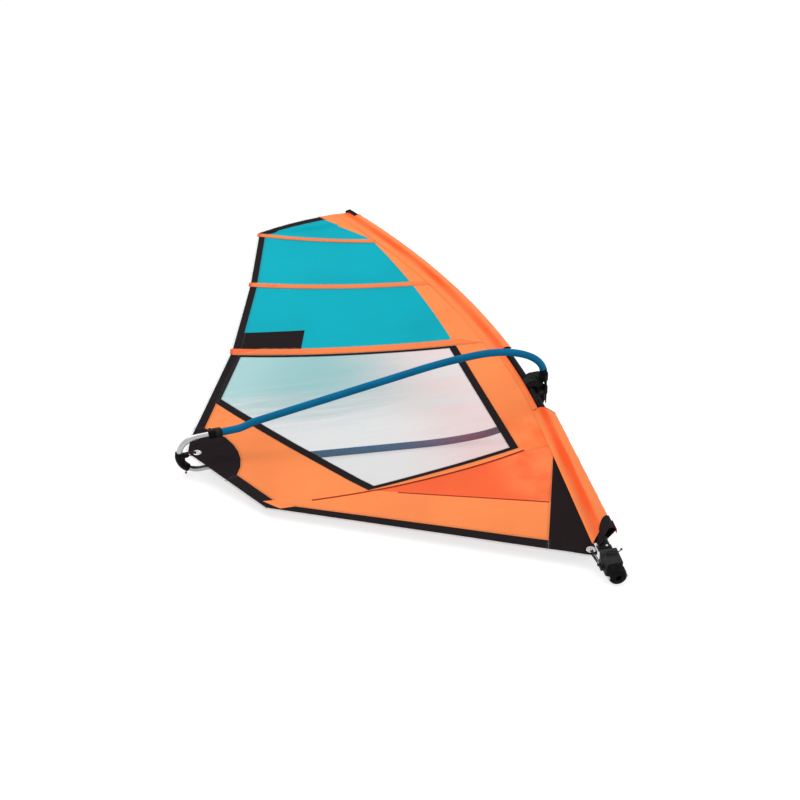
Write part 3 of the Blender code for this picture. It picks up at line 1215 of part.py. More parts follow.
def tail():
    holder = pivot("boom_tail_axis", on_boom(TAIL_CENTRE))
    line = [(TAIL_START, TAIL_HALF_WIDTH)]
    line += [(TAIL_CENTRE + x, y) for x, y in arc((0, 0), TAIL_HALF_WIDTH, 90.0, -90.0, TAIL_STEPS)]
    line += [(TAIL_START, -TAIL_HALF_WIDTH)]
    tube = pipe(arm_rings(line, 1.0, TAIL_RADIUS), arm_rings(line, 1.0, TAIL_RADIUS - TAIL_WALL))
    piece("boom_tail", tube, ALUMINIUM, holder=holder)

    # The tail fitting grips the bend; its cheeks carry the outhaul sheaves, its side a jam cleat.
    across = BOOM.col[1].xyz
    step = 180.0 / TAIL_STEPS
    shell = []
    for k in range(-round(FITTING_DOWN / step), round(FITTING_UP / step) + 1):
        angle = math.radians(step * k)
        back, out = TAIL_HALF_WIDTH * math.cos(angle), TAIL_HALF_WIDTH * math.sin(angle)
        centre = on_boom(TAIL_CENTRE + back, 0.0, out)
        radial = (BOOM.to_3x3() @ Vector((math.cos(angle), 0.0, math.sin(angle)))).normalized()
        shell.append((centre, radial))
    outer = [ring(centre, across, radial, FITTING_RADIUS, ARM_SIDES) for centre, radial in shell]
    inner = [ring(centre, across, radial, TAIL_RADIUS + GAP, ARM_SIDES) for centre, radial in shell]
    eye_place = BOOM.inverted() @ at(*CLEW_EYE, camber(*CLEW_EYE))
    pin_back = eye_place.x + OUTHAUL_RUN
    pin_frame = frame_at(on_boom(pin_back, eye_place.y, 0.0), BOOM.col[0].xyz, -OUT, across)
    first, second = 0.0, -SHEAVE_PITCH
    high_side = first + SHEAVE_WIDTH / 2 + GAP
    low_side = second - SHEAVE_WIDTH / 2 - GAP
    reach = TAIL_CENTRE + TAIL_HALF_WIDTH - TAIL_RADIUS - 0.0022 - pin_back
    cheek = [(-0.006, -0.006), (-0.006, 0.006), (-0.002, 0.0078),
             (reach, 0.0078), (reach, -0.0078), (-0.002, -0.0078)]
    cheeks = [prism(cheek, high_side, high_side + CHEEK, pin_frame),
              prism(cheek, low_side - CHEEK, low_side, pin_frame)]
    pin = lathe([(SHEAVE_PIN, low_side - CHEEK - 0.0006), (SHEAVE_PIN, high_side + CHEEK + 0.0006)],
                pin_frame, 12)
    tab, tab_hole, becket_place = becket_tab(pin_frame, high_side)
    cleat_back = TAIL_CENTRE + TAIL_HALF_WIDTH - 0.0185
    cleat_across = -FITTING_RADIUS + 0.0025
    cleat_frame = frame_at(on_boom(cleat_back, cleat_across, -0.045), BOOM.col[0].xyz, -across, OUT)
    cleat = [(-0.0065, -0.004), (0.0065, -0.004), (0.0055, CLEAT_DEPTH), (-0.0055, CLEAT_DEPTH)]
    cleat = rounded(prism(cleat, -CLEAT_LENGTH / 3, CLEAT_LENGTH / 3, cleat_frame), 0.0008)
    groove = prism([(-LINE_RADIUS - GAP, 0.0030), (LINE_RADIUS + GAP, 0.0030), (LINE_RADIUS + 0.0012, 0.02),
                    (-LINE_RADIUS - 0.0012, 0.02)], -CLEAT_LENGTH, CLEAT_LENGTH, cleat_frame)
    bore = loft(inner_path(shell, across))
    piece("tail_fitting", loft(outer), BLACK_PLASTIC, adds=cheeks + [tab, pin, cleat],
          cuts=[bore, groove, tab_hole], holder=holder)
    for name, shift in (("outhaul_sheave_upper", first), ("outhaul_sheave_lower", second)):
        place = pin_frame @ Vector((0.0, 0.0, shift))
        axle = pivot(name + "_axis", place)
        sheave(name, frame_at(place, BOOM.col[0].xyz, -OUT, across), axle)

    spread = SHEAVE_PITCH / 2
    route = purchase(becket_place, (spread, -spread), (first, second), OUTHAUL_RUN, -1.0)
    points = []
    for shift, run, out in route[:-3]:
        lift = camber(*CLEW_EYE) * max(0.0, 1.0 - run / (OUTHAUL_RUN - SHEAVE_RADIUS))
        points.append(on_boom(eye_place.x + run, eye_place.y + shift, out + lift))
    line_across = cleat_across - 0.0030 - GAP - LINE_RADIUS
    leave = eye_place.y + second
    last = pin_back + SHEAVE_GROOVE + LINE_RADIUS + 0.0002
    points += [on_boom(last, leave, -0.0098), on_boom(last - 0.0006, leave - 0.0030, -0.0160),
               on_boom(cleat_back - 0.0006, -0.0125, -0.0235),
               on_boom(cleat_back, line_across + 0.0002, -0.0305),
               on_boom(cleat_back, line_across, -0.036), on_boom(cleat_back, line_across, -0.056),
               on_boom(cleat_back + 0.001, line_across, -0.063),
               on_boom(cleat_back + 0.003, line_across - 0.001, -0.070)]
    knot = lathe([(0.0022, -0.0046), (0.0052, -0.0022), (0.0052, 0.0022), (0.0022, 0.0046)],
                 frame_at(points[-1], across, BOOM.col[0].xyz, OUT), 8)
    becket = lathe([(0.0022, -0.0018), (0.0040, -0.0005), (0.0040, 0.0020), (0.0022, 0.0036)],
                   frame_at(points[0], across, OUT, BOOM.col[0].xyz), 8)
    piece("outhaul_line", cord(points, LINE_RADIUS, LINE_SIDES), LINE, adds=[knot, becket])


def inner_path(shell, across):
    """Rings of the fitting's bore, run on past both of its ends."""
    first, last = shell[0], shell[-1]
    lead = (shell[0][0] - shell[1][0]) * 0.3
    tail_end = (shell[-1][0] - shell[-2][0]) * 0.3
    path = [(first[0] + lead, first[1])] + shell[1:-1] + [(last[0] + tail_end, last[1])]
    return [ring(centre, across, radial, TAIL_RADIUS + GAP, ARM_SIDES) for centre, radial in path]


# The boom head clamps on the mast: a saddle in front, a band behind, a lever that draws it tight.

def boom_head():
    high = BOOM_HEAD[1]
    frame = mast_frame(high)
    pad_bore = (mast_radius(high - PAD_LENGTH / 2) + GAP) * PAD_FIT
    pad_out = pad_bore + PAD_THICK
    saddle = pad_out + GAP
    outline = [(0.002, -0.043), (0.002, 0.043), (0.022, 0.052), (0.062, 0.052), (0.079, 0.044),
               (0.0765, 0.020), (0.052, -0.046), (0.030, -0.058), (0.012, -0.052)]
    block = rounded(prism(outline, -HEAD_HALF, HEAD_HALF, frame), 0.003)
    ears = []
    pin_x, pin_y = LEVER_PIN
    for sign in (-1, 1):
        low, top = sorted((sign * (LEVER_HALF + GAP), sign * (LEVER_HALF + GAP + 0.006)))
        ear = [(0.060, pin_y - 0.014), (pin_x, pin_y - 0.008), (pin_x + 0.006, pin_y - 0.004),
               (pin_x + 0.006, pin_y + 0.005), (pin_x, pin_y + 0.009), (0.060, pin_y + 0.012)]
        ears.append(prism(ear, low, top, frame))
    arm_place = on_boom(ARM_FRONT)
    local = frame.inverted() @ arm_place
    sockets, bores = [], []
    for sign in (-1, 1):
        socket_frame = frame @ Matrix.Translation((local.x, local.y, 0.0))
        near, far = sorted((sign * (HEAD_HALF - 0.006), sign * SOCKET_END))
        sockets.append(lathe([(SOCKET_RADIUS, near), (SOCKET_RADIUS, far)], socket_frame, 20))
        start, end = sorted((sign * (ARM_START - GAP), sign * 0.09))
        bore = ARM_RADIUS + GAP
        bores.append(lathe([(bore, start), (bore, end)], socket_frame, ARM_SIDES * 2))
    axis = frame @ Matrix.Rotation(math.radians(-90), 4, "X")
    mast_cut = lathe([(saddle, -0.09), (saddle, 0.09)], axis, 32)
    pin_hole = lathe([(LEVER_PIN_RADIUS + GAP, -0.05), (LEVER_PIN_RADIUS + GAP, 0.05)],
                     frame @ Matrix.Translation((pin_x, pin_y, 0.0)), 12)
    piece("boom_head", block, BLACK_PLASTIC, adds=ears + sockets, cuts=[mast_cut, pin_hole] + bores)

    pad = arc((0, 0), pad_out, 160.0, -160.0, 20) + arc((0, 0), pad_bore, -160.0, 160.0, 20)
    turn = frame @ Matrix(((1, 0, 0, 0), (0, 0, 1, 0), (0, 1, 0, 0), (0, 0, 0, 1)))
    piece("boom_head_pad", prism(pad, -PAD_LENGTH / 2, PAD_LENGTH / 2, turn), RUBBER)

    middle = pad_out + GAP + BAND_THICK / 2
    leg = HEAD_HALF + GAP + BAND_THICK / 2
    path = arc((0, 0), middle, 95.0, 265.0, 12)
    path = [(0.034, leg), (0.004, leg)] + path + [(0.004, -leg), (0.034, -leg)]
    bolts = []
    for sign in (-1, 1):
        for up in (-1, 1):
            place = frame @ Matrix.Translation((0.024, up * BAND_WIDTH * 0.25, sign * leg))
            rim, top = (sign * (BAND_THICK / 2 + BOLT_HEAD * share) for share in (0.7, 1.0))
            bolts.append(lathe([(BOLT_RADIUS, 0.0), (BOLT_RADIUS, rim), (BOLT_RADIUS * 0.75, top)],
                               place, 12))
    band = prism(ribbon(path, BAND_THICK), -BAND_WIDTH / 2, BAND_WIDTH / 2, turn)
    piece("boom_head_band", band, GREY_PLASTIC, adds=bolts)

    tip = (0.034, -0.126)
    reach = Vector(tip) - Vector(LEVER_PIN)
    heading = reach.normalized()
    face = Vector((-heading.y, heading.x))
    length = reach.length

    def on_lever(along, off):
        point = Vector(LEVER_PIN) + heading * along + face * off
        return point.x, point.y

    half = LEVER_THICK / 2
    lever_shape = [on_lever(0.004, -half), on_lever(length * 0.75, -half * 0.8),
                   on_lever(length, -half * 0.2), on_lever(length, half * 0.5),
                   on_lever(length * 0.7, half), on_lever(length * 0.3, half * 1.3), on_lever(0.004, half)]
    lever = rounded(prism(lever_shape, -LEVER_HALF, LEVER_HALF, frame), 0.0015)
    pin_frame = frame @ Matrix.Translation((pin_x, pin_y, 0.0))
    barrel = lathe([(LEVER_BARREL, -LEVER_HALF), (LEVER_BARREL, LEVER_HALF)], pin_frame, 16)
    hole = lathe([(LEVER_PIN_RADIUS + GAP, -0.05), (LEVER_PIN_RADIUS + GAP, 0.05)], pin_frame, 12)
    holder = pivot("boom_head_lever_axis", pin_frame.translation)
    piece("boom_head_lever", lever, BLACK_PLASTIC, adds=[barrel], cuts=[hole], holder=holder)
    end = LEVER_HALF + GAP + 0.006 + 0.0012
    piece("boom_head_pin", lathe([(LEVER_PIN_RADIUS, -end), (LEVER_PIN_RADIUS, end)], pin_frame, 12), STEEL)


# Lying on the ground.

def rig_points(names):
    points = []
    for name in names:
        thing = bpy.data.objects[name]
        shift = thing.parent.location if thing.parent != RIG else Vector()
        points += [vert.co + shift for vert in thing.data.vertices]
    return points


def lay_down():
    """Turn the rig until its cup, lower grip and tail lie on the ground."""
    feet = [rig_points(names) for names in (["base_cup"], ["grip_lower"],
                                            ["clip_lower", "boom_tail", "tail_fitting"])]
    up = Vector((0.1, 0.19, 0.97)).normalized()
    for _ in range(GROUND_ROUNDS):
        cup, grip, rear = (min(points, key=up.dot) for points in feet)
        up = (grip - cup).cross(rear - cup).normalized()
        if up.z < 0:
            up.negate()
    turn = up.rotation_difference(OUT).to_matrix()
    head = turn @ Vector((0, 1, 0))
    turn = Matrix.Rotation(math.atan2(head.x, head.y), 3, "Z") @ turn
    RIG.rotation_euler = turn.to_euler()
    everything = [turn @ point for point in rig_points([thing.name for thing in bpy.data.objects
                                                        if thing.type == "MESH"])]
    low = Vector([min(point[k] for point in everything) for k in range(3)])
    top = Vector([max(point[k] for point in everything) for k in range(3)])
    RIG.location = -Vector(((low.x + top.x) / 2, (low.y + top.y) / 2, low.z))


mast()
sleeve("sleeve_upper", CUTOUT_TOP, SLEEVE_TOP, CUTOUT_TOP_LEAN, SLEEVE_TOP_LEAN)
sleeve("sleeve_lower", SLEEVE_FOOT, CUTOUT_FOOT, SLEEVE_FOOT_LEAN, CUTOUT_FOOT_LEAN)
flaps()
upper_sail()
battens()
lower_sail()
webbing()
extension()
boom_arms()
clips()
tail()
boom_head()
lay_down()
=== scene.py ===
# Looks for a child's windsurf rig that lies on a studio floor.
# Cloth, film, foam, tubes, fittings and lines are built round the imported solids, in metres.

import json
import math

import bmesh
import bpy
from mathutils import Matrix, Vector, noise


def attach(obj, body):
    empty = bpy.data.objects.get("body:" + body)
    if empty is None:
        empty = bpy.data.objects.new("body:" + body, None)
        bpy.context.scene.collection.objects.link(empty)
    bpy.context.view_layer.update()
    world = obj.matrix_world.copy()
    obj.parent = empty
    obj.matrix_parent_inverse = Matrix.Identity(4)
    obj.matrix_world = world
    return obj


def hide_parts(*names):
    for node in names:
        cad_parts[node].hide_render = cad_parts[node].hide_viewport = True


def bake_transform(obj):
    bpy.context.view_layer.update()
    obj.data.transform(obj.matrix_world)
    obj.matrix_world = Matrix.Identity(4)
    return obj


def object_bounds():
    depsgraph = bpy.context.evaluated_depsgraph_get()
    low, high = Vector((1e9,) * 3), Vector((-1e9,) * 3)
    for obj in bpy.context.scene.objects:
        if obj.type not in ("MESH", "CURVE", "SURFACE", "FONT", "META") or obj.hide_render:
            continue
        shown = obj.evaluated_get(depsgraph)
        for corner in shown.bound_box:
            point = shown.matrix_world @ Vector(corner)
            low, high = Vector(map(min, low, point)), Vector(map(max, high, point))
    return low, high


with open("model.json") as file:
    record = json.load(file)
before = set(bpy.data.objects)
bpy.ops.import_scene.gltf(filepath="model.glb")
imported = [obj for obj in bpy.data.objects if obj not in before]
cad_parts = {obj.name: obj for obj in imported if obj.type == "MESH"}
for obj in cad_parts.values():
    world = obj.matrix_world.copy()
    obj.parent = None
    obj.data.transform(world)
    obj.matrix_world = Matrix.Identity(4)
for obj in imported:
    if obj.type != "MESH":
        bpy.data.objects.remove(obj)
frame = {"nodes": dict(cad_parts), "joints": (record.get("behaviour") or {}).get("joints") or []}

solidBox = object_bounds()
joints = {joint["name"]: joint for joint in frame["joints"]}
rigBody = "rig"


# the rig's own directions, from its joints
mastUp = -Vector(joints["extension_slide"]["axis"])
sailOut = -Vector(joints["collar_lock_press"]["axis"])
sailAft = Vector(joints["downhaul_sheave_front_spin"]["axis"])
boomBack = Vector(joints["boom_tail_slide"]["axis"])
boomAcross = Vector(joints["outhaul_sheave_upper_spin"]["axis"])


def placed(origin, x, y, z):
    matrix = Matrix((x, y, z)).transposed().to_4x4()
    matrix.translation = origin
    return matrix


mast = {
    "ahead": 0.022,          # the mast axis stands ahead of the sail's zero line
    "foot": -0.005,
    "bendFrom": 0.72,
    "tip": 2.635,
    "bend": 0.503,
    "footRadius": 0.0215,
    "tipRadius": 0.0105,
    "joint": 1.3103,
}
sail = {
    "seam": 0.055,           # sleeve seam behind the mast axis, above the cut-out
    "depth": 0.020,
    "flatTo": 0.25,
    "fullFrom": 0.60,
    "edge": [(0.942, 2.545), (1.037, 2.076), (1.175, 1.548), (1.400, 0.965), (1.414, 0.884),
             (1.151, 0.486), (0.031, -0.033)],
    "clewEye": (1.379, 0.879),
    "tackEye": (0.030, -0.004),
    "grid": 0.014,
    "fineGrid": 0.006,
    "lap": 0.003,
    "layer": 0.00055,        # from one layer of cloth to the next
    "cloth": 0.0005,         # thicknesses
    "film": 0.00025,
    "patch": 0.0006,
    "tape": 0.0018,          # folded over the cloth's edge
}
boom = {
    "centre": 1.466, "tailHalf": 0.079, "front": 0.012, "widest": 0.2065, "widestAt": 0.300,
    "slope": 0.135, "straightFrom": 0.550, "straightTo": 1.220, "parallelFrom": 1.310,
    "socketEnd": 0.050, "clipStart": 1.366, "tailStart": 1.318,
    "gripRadius": 0.0150, "tailRadius": 0.0112,
}

axisFoot = Vector(joints["extension_slide"]["pos_m"])
rig = placed(axisFoot + sailAft * mast["ahead"], -sailAft, mastUp, sailOut)
toRig = rig.inverted()
boomOrigin = Vector(joints["boom_tail_slide"]["pos_m"]) - boomBack * boom["centre"]
boomFrame = placed(boomOrigin, boomBack, boomAcross, sailOut)


def evenly(low, high, count):
    # count + 1 numbers from low to high
    return [low + (high - low) * k / count for k in range(count + 1)]


def travel(points):
    # how far along its run each point is
    lengths = [0.0]
    for before, after in zip(points, points[1:]):
        lengths.append(lengths[-1] + math.dist(before, after))
    return lengths


def onRig(aft, high, out=0.0):
    return rig @ Vector((-aft, high, out))


def onBoom(back, across=0.0, out=0.0):
    return boomFrame @ Vector((back, across, out))


def mastAft(high):
    share = max(0.0, (high - mast["bendFrom"]) / (mast["tip"] - mast["bendFrom"]))
    return mast["bend"] * share ** 2 - mast["ahead"]


def mastRadius(high):
    share = (high - mast["foot"]) / (mast["tip"] - mast["foot"])
    return mast["footRadius"] + (mast["tipRadius"] - mast["footRadius"]) * share


def mastFrame(high):
    # x ahead of the mast, y up it, z out of the sail
    slope = (mastAft(high + 0.002) - mastAft(high - 0.002)) / 0.004
    along = Vector((-slope, 1.0, 0.0)).normalized()
    out = Vector((0.0, 0.0, 1.0))
    return rig @ placed(Vector((-mastAft(high), high, 0.0)), along.cross(out), along, out)


def leechAft(high):
    edge = sail["edge"]
    for (aftA, highA), (aftB, highB) in zip(edge, edge[1:]):
        if highB <= high <= highA:
            return aftB + (aftA - aftB) * (high - highB) / (highA - highB)
    return edge[0][0] if high > edge[0][1] else edge[-1][0]


def sailHeight(aft, high):
    # the camber between luff and leech, fading to flat near the tack
    front = mastAft(high) + sail["seam"]
    chord = leechAft(high) - front
    if chord <= 0.05 or high > sail["edge"][0][1]:
        return 0.0
    share = min(1.0, max(0.0, (aft - front) / chord))
    full = min(1.0, max(0.0, (high - sail["flatTo"]) / (sail["fullFrom"] - sail["flatTo"])))
    return -sail["depth"] * full * chord * 4.0 * share * (1.0 - share)


creases = {
    "clew": {"rays": 13, "reach": 0.62, "depth": 0.0016},
    "tack": {"rays": 11, "reach": 0.50, "depth": 0.0013},
    "cloth": {"size": 5.0, "depth": 0.0011},
}


def crease(aft, high):
    # pull lines that fan out from the two eyelets, and the cloth's own slow waves
    total = 0.0
    for eye, kind in ((sail["clewEye"], creases["clew"]), (sail["tackEye"], creases["tack"])):
        dx, dy = aft - eye[0], high - eye[1]
        reach = math.hypot(dx, dy)
        fade = min(1.0, reach / 0.10) * max(0.0, 1.0 - reach / kind["reach"]) ** 2
        if fade > 0.0:
            turn = math.atan2(dy, dx)
            wander = noise.noise(Vector((reach * 4.0, turn * 2.0, eye[0])))
            total += kind["depth"] * fade * math.sin(turn * kind["rays"] + wander * 2.0)
    size = creases["cloth"]["size"]
    total += creases["cloth"]["depth"] * noise.noise(Vector((aft * size * 0.6, high * size, 3.0)))
    return total


def clothHeight(aft, high):
    return sailHeight(aft, high) + crease(aft, high)


# node trees and materials
class Signal:
    # an output in a node tree, on which plain arithmetic works
    def __init__(self, tree, socket):
        self.tree, self.socket = tree, socket

    def __add__(self, other):
        return mathNode("ADD", self, other)

    def __sub__(self, other):
        return mathNode("SUBTRACT", self, other)

    def __mul__(self, other):
        return mathNode("MULTIPLY", self, other)


def feed(target, value):
    # another node's signal into a socket, or a plain value, where a colour comes without its alpha
    if isinstance(value, Signal):
        value.tree.links.new(value.socket, target)
    elif isinstance(value, tuple) and len(value) < len(target.default_value):
        target.default_value = (*value, 1.0)
    else:
        target.default_value = value


def addNode(tree, kind, inputs=(), output=0, **settings):
    node = tree.nodes.new(kind)
    for key, value in settings.items():
        setattr(node, key, value)
    for socket, value in dict(inputs).items():
        feed(node.inputs[socket], value)
    return Signal(tree, node.outputs[output])


def mathNode(operation, first, second):
    return addNode(first.tree, "ShaderNodeMath", {0: first, 1: second}, operation=operation)


def mapped(material, source, scale=(1, 1, 1), turn=0.0):
    # source is UV or Object
    where = addNode(material.node_tree, "ShaderNodeTexCoord", output=source)
    return addNode(material.node_tree, "ShaderNodeMapping",
                   {"Vector": where, "Scale": scale, "Rotation": (0, 0, math.radians(turn))})


def axisOf(vector, axis):
    return addNode(vector.tree, "ShaderNodeSeparateXYZ", {0: vector}, axis)


def noiseAt(vector, scale, detail=3.0):
    return addNode(vector.tree, "ShaderNodeTexNoise",
                   {"Vector": vector, "Scale": scale, "Detail": detail}, "Fac")


def bands(vector, scale, direction="X"):
    return addNode(vector.tree, "ShaderNodeTexWave", {"Vector": vector, "Scale": scale}, "Fac",
                   bands_direction=direction)


def eased(value, low, high):
    # 0 at low, 1 at high, smooth between
    return addNode(value.tree, "ShaderNodeMapRange",
                   {"Value": value, "From Min": low, "From Max": high},
                   interpolation_type="SMOOTHSTEP")


def tint(factor, low, high, colours):
    # colour ramp between places low and high of the factor
    ramp = addNode(factor.tree, "ShaderNodeValToRGB", {"Fac": factor}, "Color")
    stops = ramp.socket.node.color_ramp.elements
    stops[0].position, stops[1].position = low, high
    for number in range(1, len(colours) - 1):
        stops.new(low + (high - low) * number / (len(colours) - 1))
    for stop, colour in zip(stops, colours):
        stop.color = (*colour, 1.0)
    return ramp


def mixed(factor, first, second):
    return addNode(factor.tree, "ShaderNodeMix", {0: factor, 6: first, 7: second}, 2,
                   data_type="RGBA")


def shaderInput(material, socket):
    return material.node_tree.nodes["Principled BSDF"].inputs[socket]


def newMaterial(name, colour, roughness, metallic=0.0, specular=0.5, sheen=0.0):
    material = bpy.data.materials.new(name)
    material.use_nodes = True
    for socket, value in (("Base Color", colour), ("Roughness", roughness), ("Metallic", metallic),
                          ("Specular IOR Level", specular), ("Sheen Weight", sheen)):
        feed(shaderInput(material, socket), value)
    return material


def finishWith(material, colour, roughness=None, height=None, depth=0.0003, strength=0.6):
    # what the shader gets from nodes; the height becomes a bump
    if height is not None:
        height = addNode(material.node_tree, "ShaderNodeBump",
                         {"Height": height, "Distance": depth, "Strength": strength}, "Normal")
    for socket, value in (("Base Color", colour), ("Roughness", roughness), ("Normal", height)):
        if value is not None:
            feed(shaderInput(material, socket), value)
    return material


def shades(colour, share):
    return tuple(min(1.0, channel * share) for channel in colour)


def sailcloth(name, colour, roughness=0.52, square=0.0075, marked=0.10, deepen=None):
    # plain weave with a faint reinforcing square, slow colour drift, soft handling waves
    threads, squares = 900.0 / math.pi, 0.5 / square / math.pi
    material = newMaterial(name, colour, roughness, specular=0.04)
    uv = mapped(material, "UV")
    drift = noiseAt(uv, 2.4, 4.0)
    base = tint(drift, 0.25, 0.75, [shades(colour, 0.88), colour, shades(colour, 1.06)])
    if deepen:
        # a second tone that comes in along the sheet, in cloudy patches
        tone, axis, start, end = deepen
        clouds = eased(noiseAt(uv, 5.5), 0.30, 0.62)
        base = mixed(eased(axisOf(uv, axis), start, end) * clouds, base, tone)
    lines = mathNode("MAXIMUM", bands(uv, squares), bands(uv, squares, "Y"))
    lines = mathNode("GREATER_THAN", lines, 0.985) * marked
    base = mixed(lines, base, shades(colour, 0.62))
    weave = bands(uv, threads) + bands(uv, threads, "Y")
    waves = noiseAt(mapped(material, "UV", (9.0, 26.0, 1.0), 18.0), 1.0, 2.0)
    return finishWith(material, base, drift * 0.16 + (roughness - 0.08),
                      weave * 0.10 + waves * 2.2, 0.0011, 0.45)


def webbingCloth(name, colour):
    # a ribbed tape: fine cross ribs, with painted shade in the valleys and a painted highlight on
    # the rib tops
    ribs = 520.0 / math.pi
    material = newMaterial(name, colour, 0.72, specular=0.06)
    uv = mapped(material, "UV")
    ribsWithPaintedShade = bands(uv, ribs) * bands(uv, ribs, "Y")
    # painted shade in the rib valleys and painted highlight on the rib tops
    base = mixed(ribsWithPaintedShade, shades(colour, 0.75), shades(colour, 1.4))
    base = mixed(noiseAt(uv, 14.0, 4.0) * 0.30, base, shades(colour, 1.8))
    return finishWith(material, base, None, ribsWithPaintedShade, 0.0003, 0.5)


def moulded(name, colour, roughness=0.42, grain=900.0):
    # spark-eroded mould grain with scuffs that turn it a little greyer
    material = newMaterial(name, colour, roughness, specular=0.045)
    where = mapped(material, "Object")
    scuff = noiseAt(where, 38.0, 6.0)
    base = tint(scuff, 0.42, 0.80, [colour, shades(colour, 1.3), shades(colour, 3.0)])
    return finishWith(material, base, scuff * 0.30 + (roughness - 0.12),
                      noiseAt(where, grain, 2.0), 0.00025, 0.35)


def drawnMetal(name, colour, roughness=0.28, along=(6.0, 900.0, 1.0), source="UV", metal=1.0,
               shine=0.5):
    # fine lines along the tube, drawn or wound, and dull handling marks
    material = newMaterial(name, colour, roughness, metal, shine)
    lines = noiseAt(mapped(material, source, along), 1.0, 4.0)
    marks = noiseAt(mapped(material, "Object"), 22.0, 5.0)
    return finishWith(material, mixed(marks, shades(colour, 0.86), colour),
                      lines * 0.22 + marks * 0.14 + (roughness - 0.18), lines, 0.00008, 0.3)


def foamSkin(name, colour):
    # closed-cell foam, ground smooth: open pores with painted shade in them, and a slightly rubbed
    # top
    material = newMaterial(name, colour, 0.62, specular=0.08)
    where = mapped(material, "Object")
    cells = addNode(material.node_tree, "ShaderNodeTexVoronoi", {"Vector": where, "Scale": 620.0},
                    "Distance")
    poresWithPaintedShade = mathNode("LESS_THAN", cells, 0.22)
    rub = noiseAt(where, 9.0, 5.0)
    base = tint(rub, 0.30, 0.80, [shades(colour, 0.88), colour, shades(colour, 1.18)])
    # painted shade: the pores are darkened
    base = mixed(poresWithPaintedShade * 0.5, base, shades(colour, 0.45))
    return finishWith(material, base, rub * 0.2 + 0.55, rub * 0.8 - poresWithPaintedShade, 0.0004, 0.5)


def braid(name, colour, fleck):
    # sixteen-plait cover: two sets of strands that cross, with painted shade between them and
    # painted highlights on their crowns, and a flecked marker yarn
    material = newMaterial(name, colour, 0.7, specular=0.10)
    left, right = (mapped(material, "UV", turn=turn) for turn in (45.0, -45.0))
    strandsWithPaintedShade = mathNode("MAXIMUM", bands(left, 240.0), bands(right, 240.0))
    yarn = mathNode("GREATER_THAN", bands(left, 40.0), 0.86)
    # painted shade between the strands and painted highlights on their crowns
    base = mixed(yarn, mixed(strandsWithPaintedShade, shades(colour, 0.5), shades(colour, 1.6)), fleck)
    return finishWith(material, base, None, strandsWithPaintedShade, 0.0004, 0.7)


def threadYarn(name, colour, tone):
    # twisted sewing thread, with painted shade in the grooves of its twist
    material = newMaterial(name, colour, 0.6, sheen=0.4)
    twistWithPaintedShade = bands(mapped(material, "Object", turn=30.0), 900.0)
    # painted shade in the grooves of the twist
    return finishWith(material, mixed(twistWithPaintedShade, shades(tone, 0.7), tone), None, twistWithPaintedShade, 0.0001)


def windowFilm():
    # clear film: hazy and cool up towards the leech, with a painted reflection of the orange cloth
    # by the mast, and long tension ripples
    clear, paintedOrangeReflection, haze = (0.20, 0.20, 0.21), (0.60, 0.115, 0.115), (0.0, 0.41, 0.43)
    material = newMaterial("windowFilm", clear, 0.10)
    uv = mapped(material, "UV")
    streaks = noiseAt(mapped(material, "UV", (3.0, 30.0, 1.0), 6.0), 1.0)
    clouds = noiseAt(mapped(material, "UV", (2.0, 5.0, 1.0), -10.0), 1.0)
    along, above = axisOf(uv, "X") + clouds * 0.3, axisOf(uv, "Y") + streaks * 0.3
    cool = eased(along, 0.50, 1.00) * eased(above, 1.08, 1.46)
    # painted reflection: a warm orange tint near the mast, in cloudy patches
    near = eased(along, 0.85, 0.42) * eased(clouds, 0.25, 0.60)
    # painted shade: the film grows denser, and so darker, towards the foot
    low = eased(above, 1.15, 0.75)
    feed(shaderInput(material, "Alpha"), cool * 0.245 + near * 0.045 + low * 0.04 + 0.14)
    ripples = noiseAt(mapped(material, "UV", (5.0, 46.0, 1.0), 8.0), 1.0, 2.0)
    return finishWith(material, mixed(cool, mixed(near, clear, paintedOrangeReflection), haze),
                      noiseAt(uv, 60.0, 4.0) * 0.14 + 0.05, ripples, 0.0010, 0.35)


def luffCloth():
    # orange cloth with painted shade: a deeper red-orange where its mastBehind attribute says,
    # where the cloth falls from the mast towards the seam
    material = sailcloth("luffSleeveCloth", (1.0, 0.255, 0.077), 0.46, marked=0.05)
    base = Signal(material.node_tree, shaderInput(material, "Base Color").links[0].from_socket)
    behind = addNode(material.node_tree, "ShaderNodeAttribute", output="Fac",
                     attribute_name="mastBehind")
    # painted shade: the deep red-orange comes in as far as the painted sleeve shade attribute says
    return finishWith(material, mixed(behind * 0.9, base, (0.96, 0.088, 0.015)))


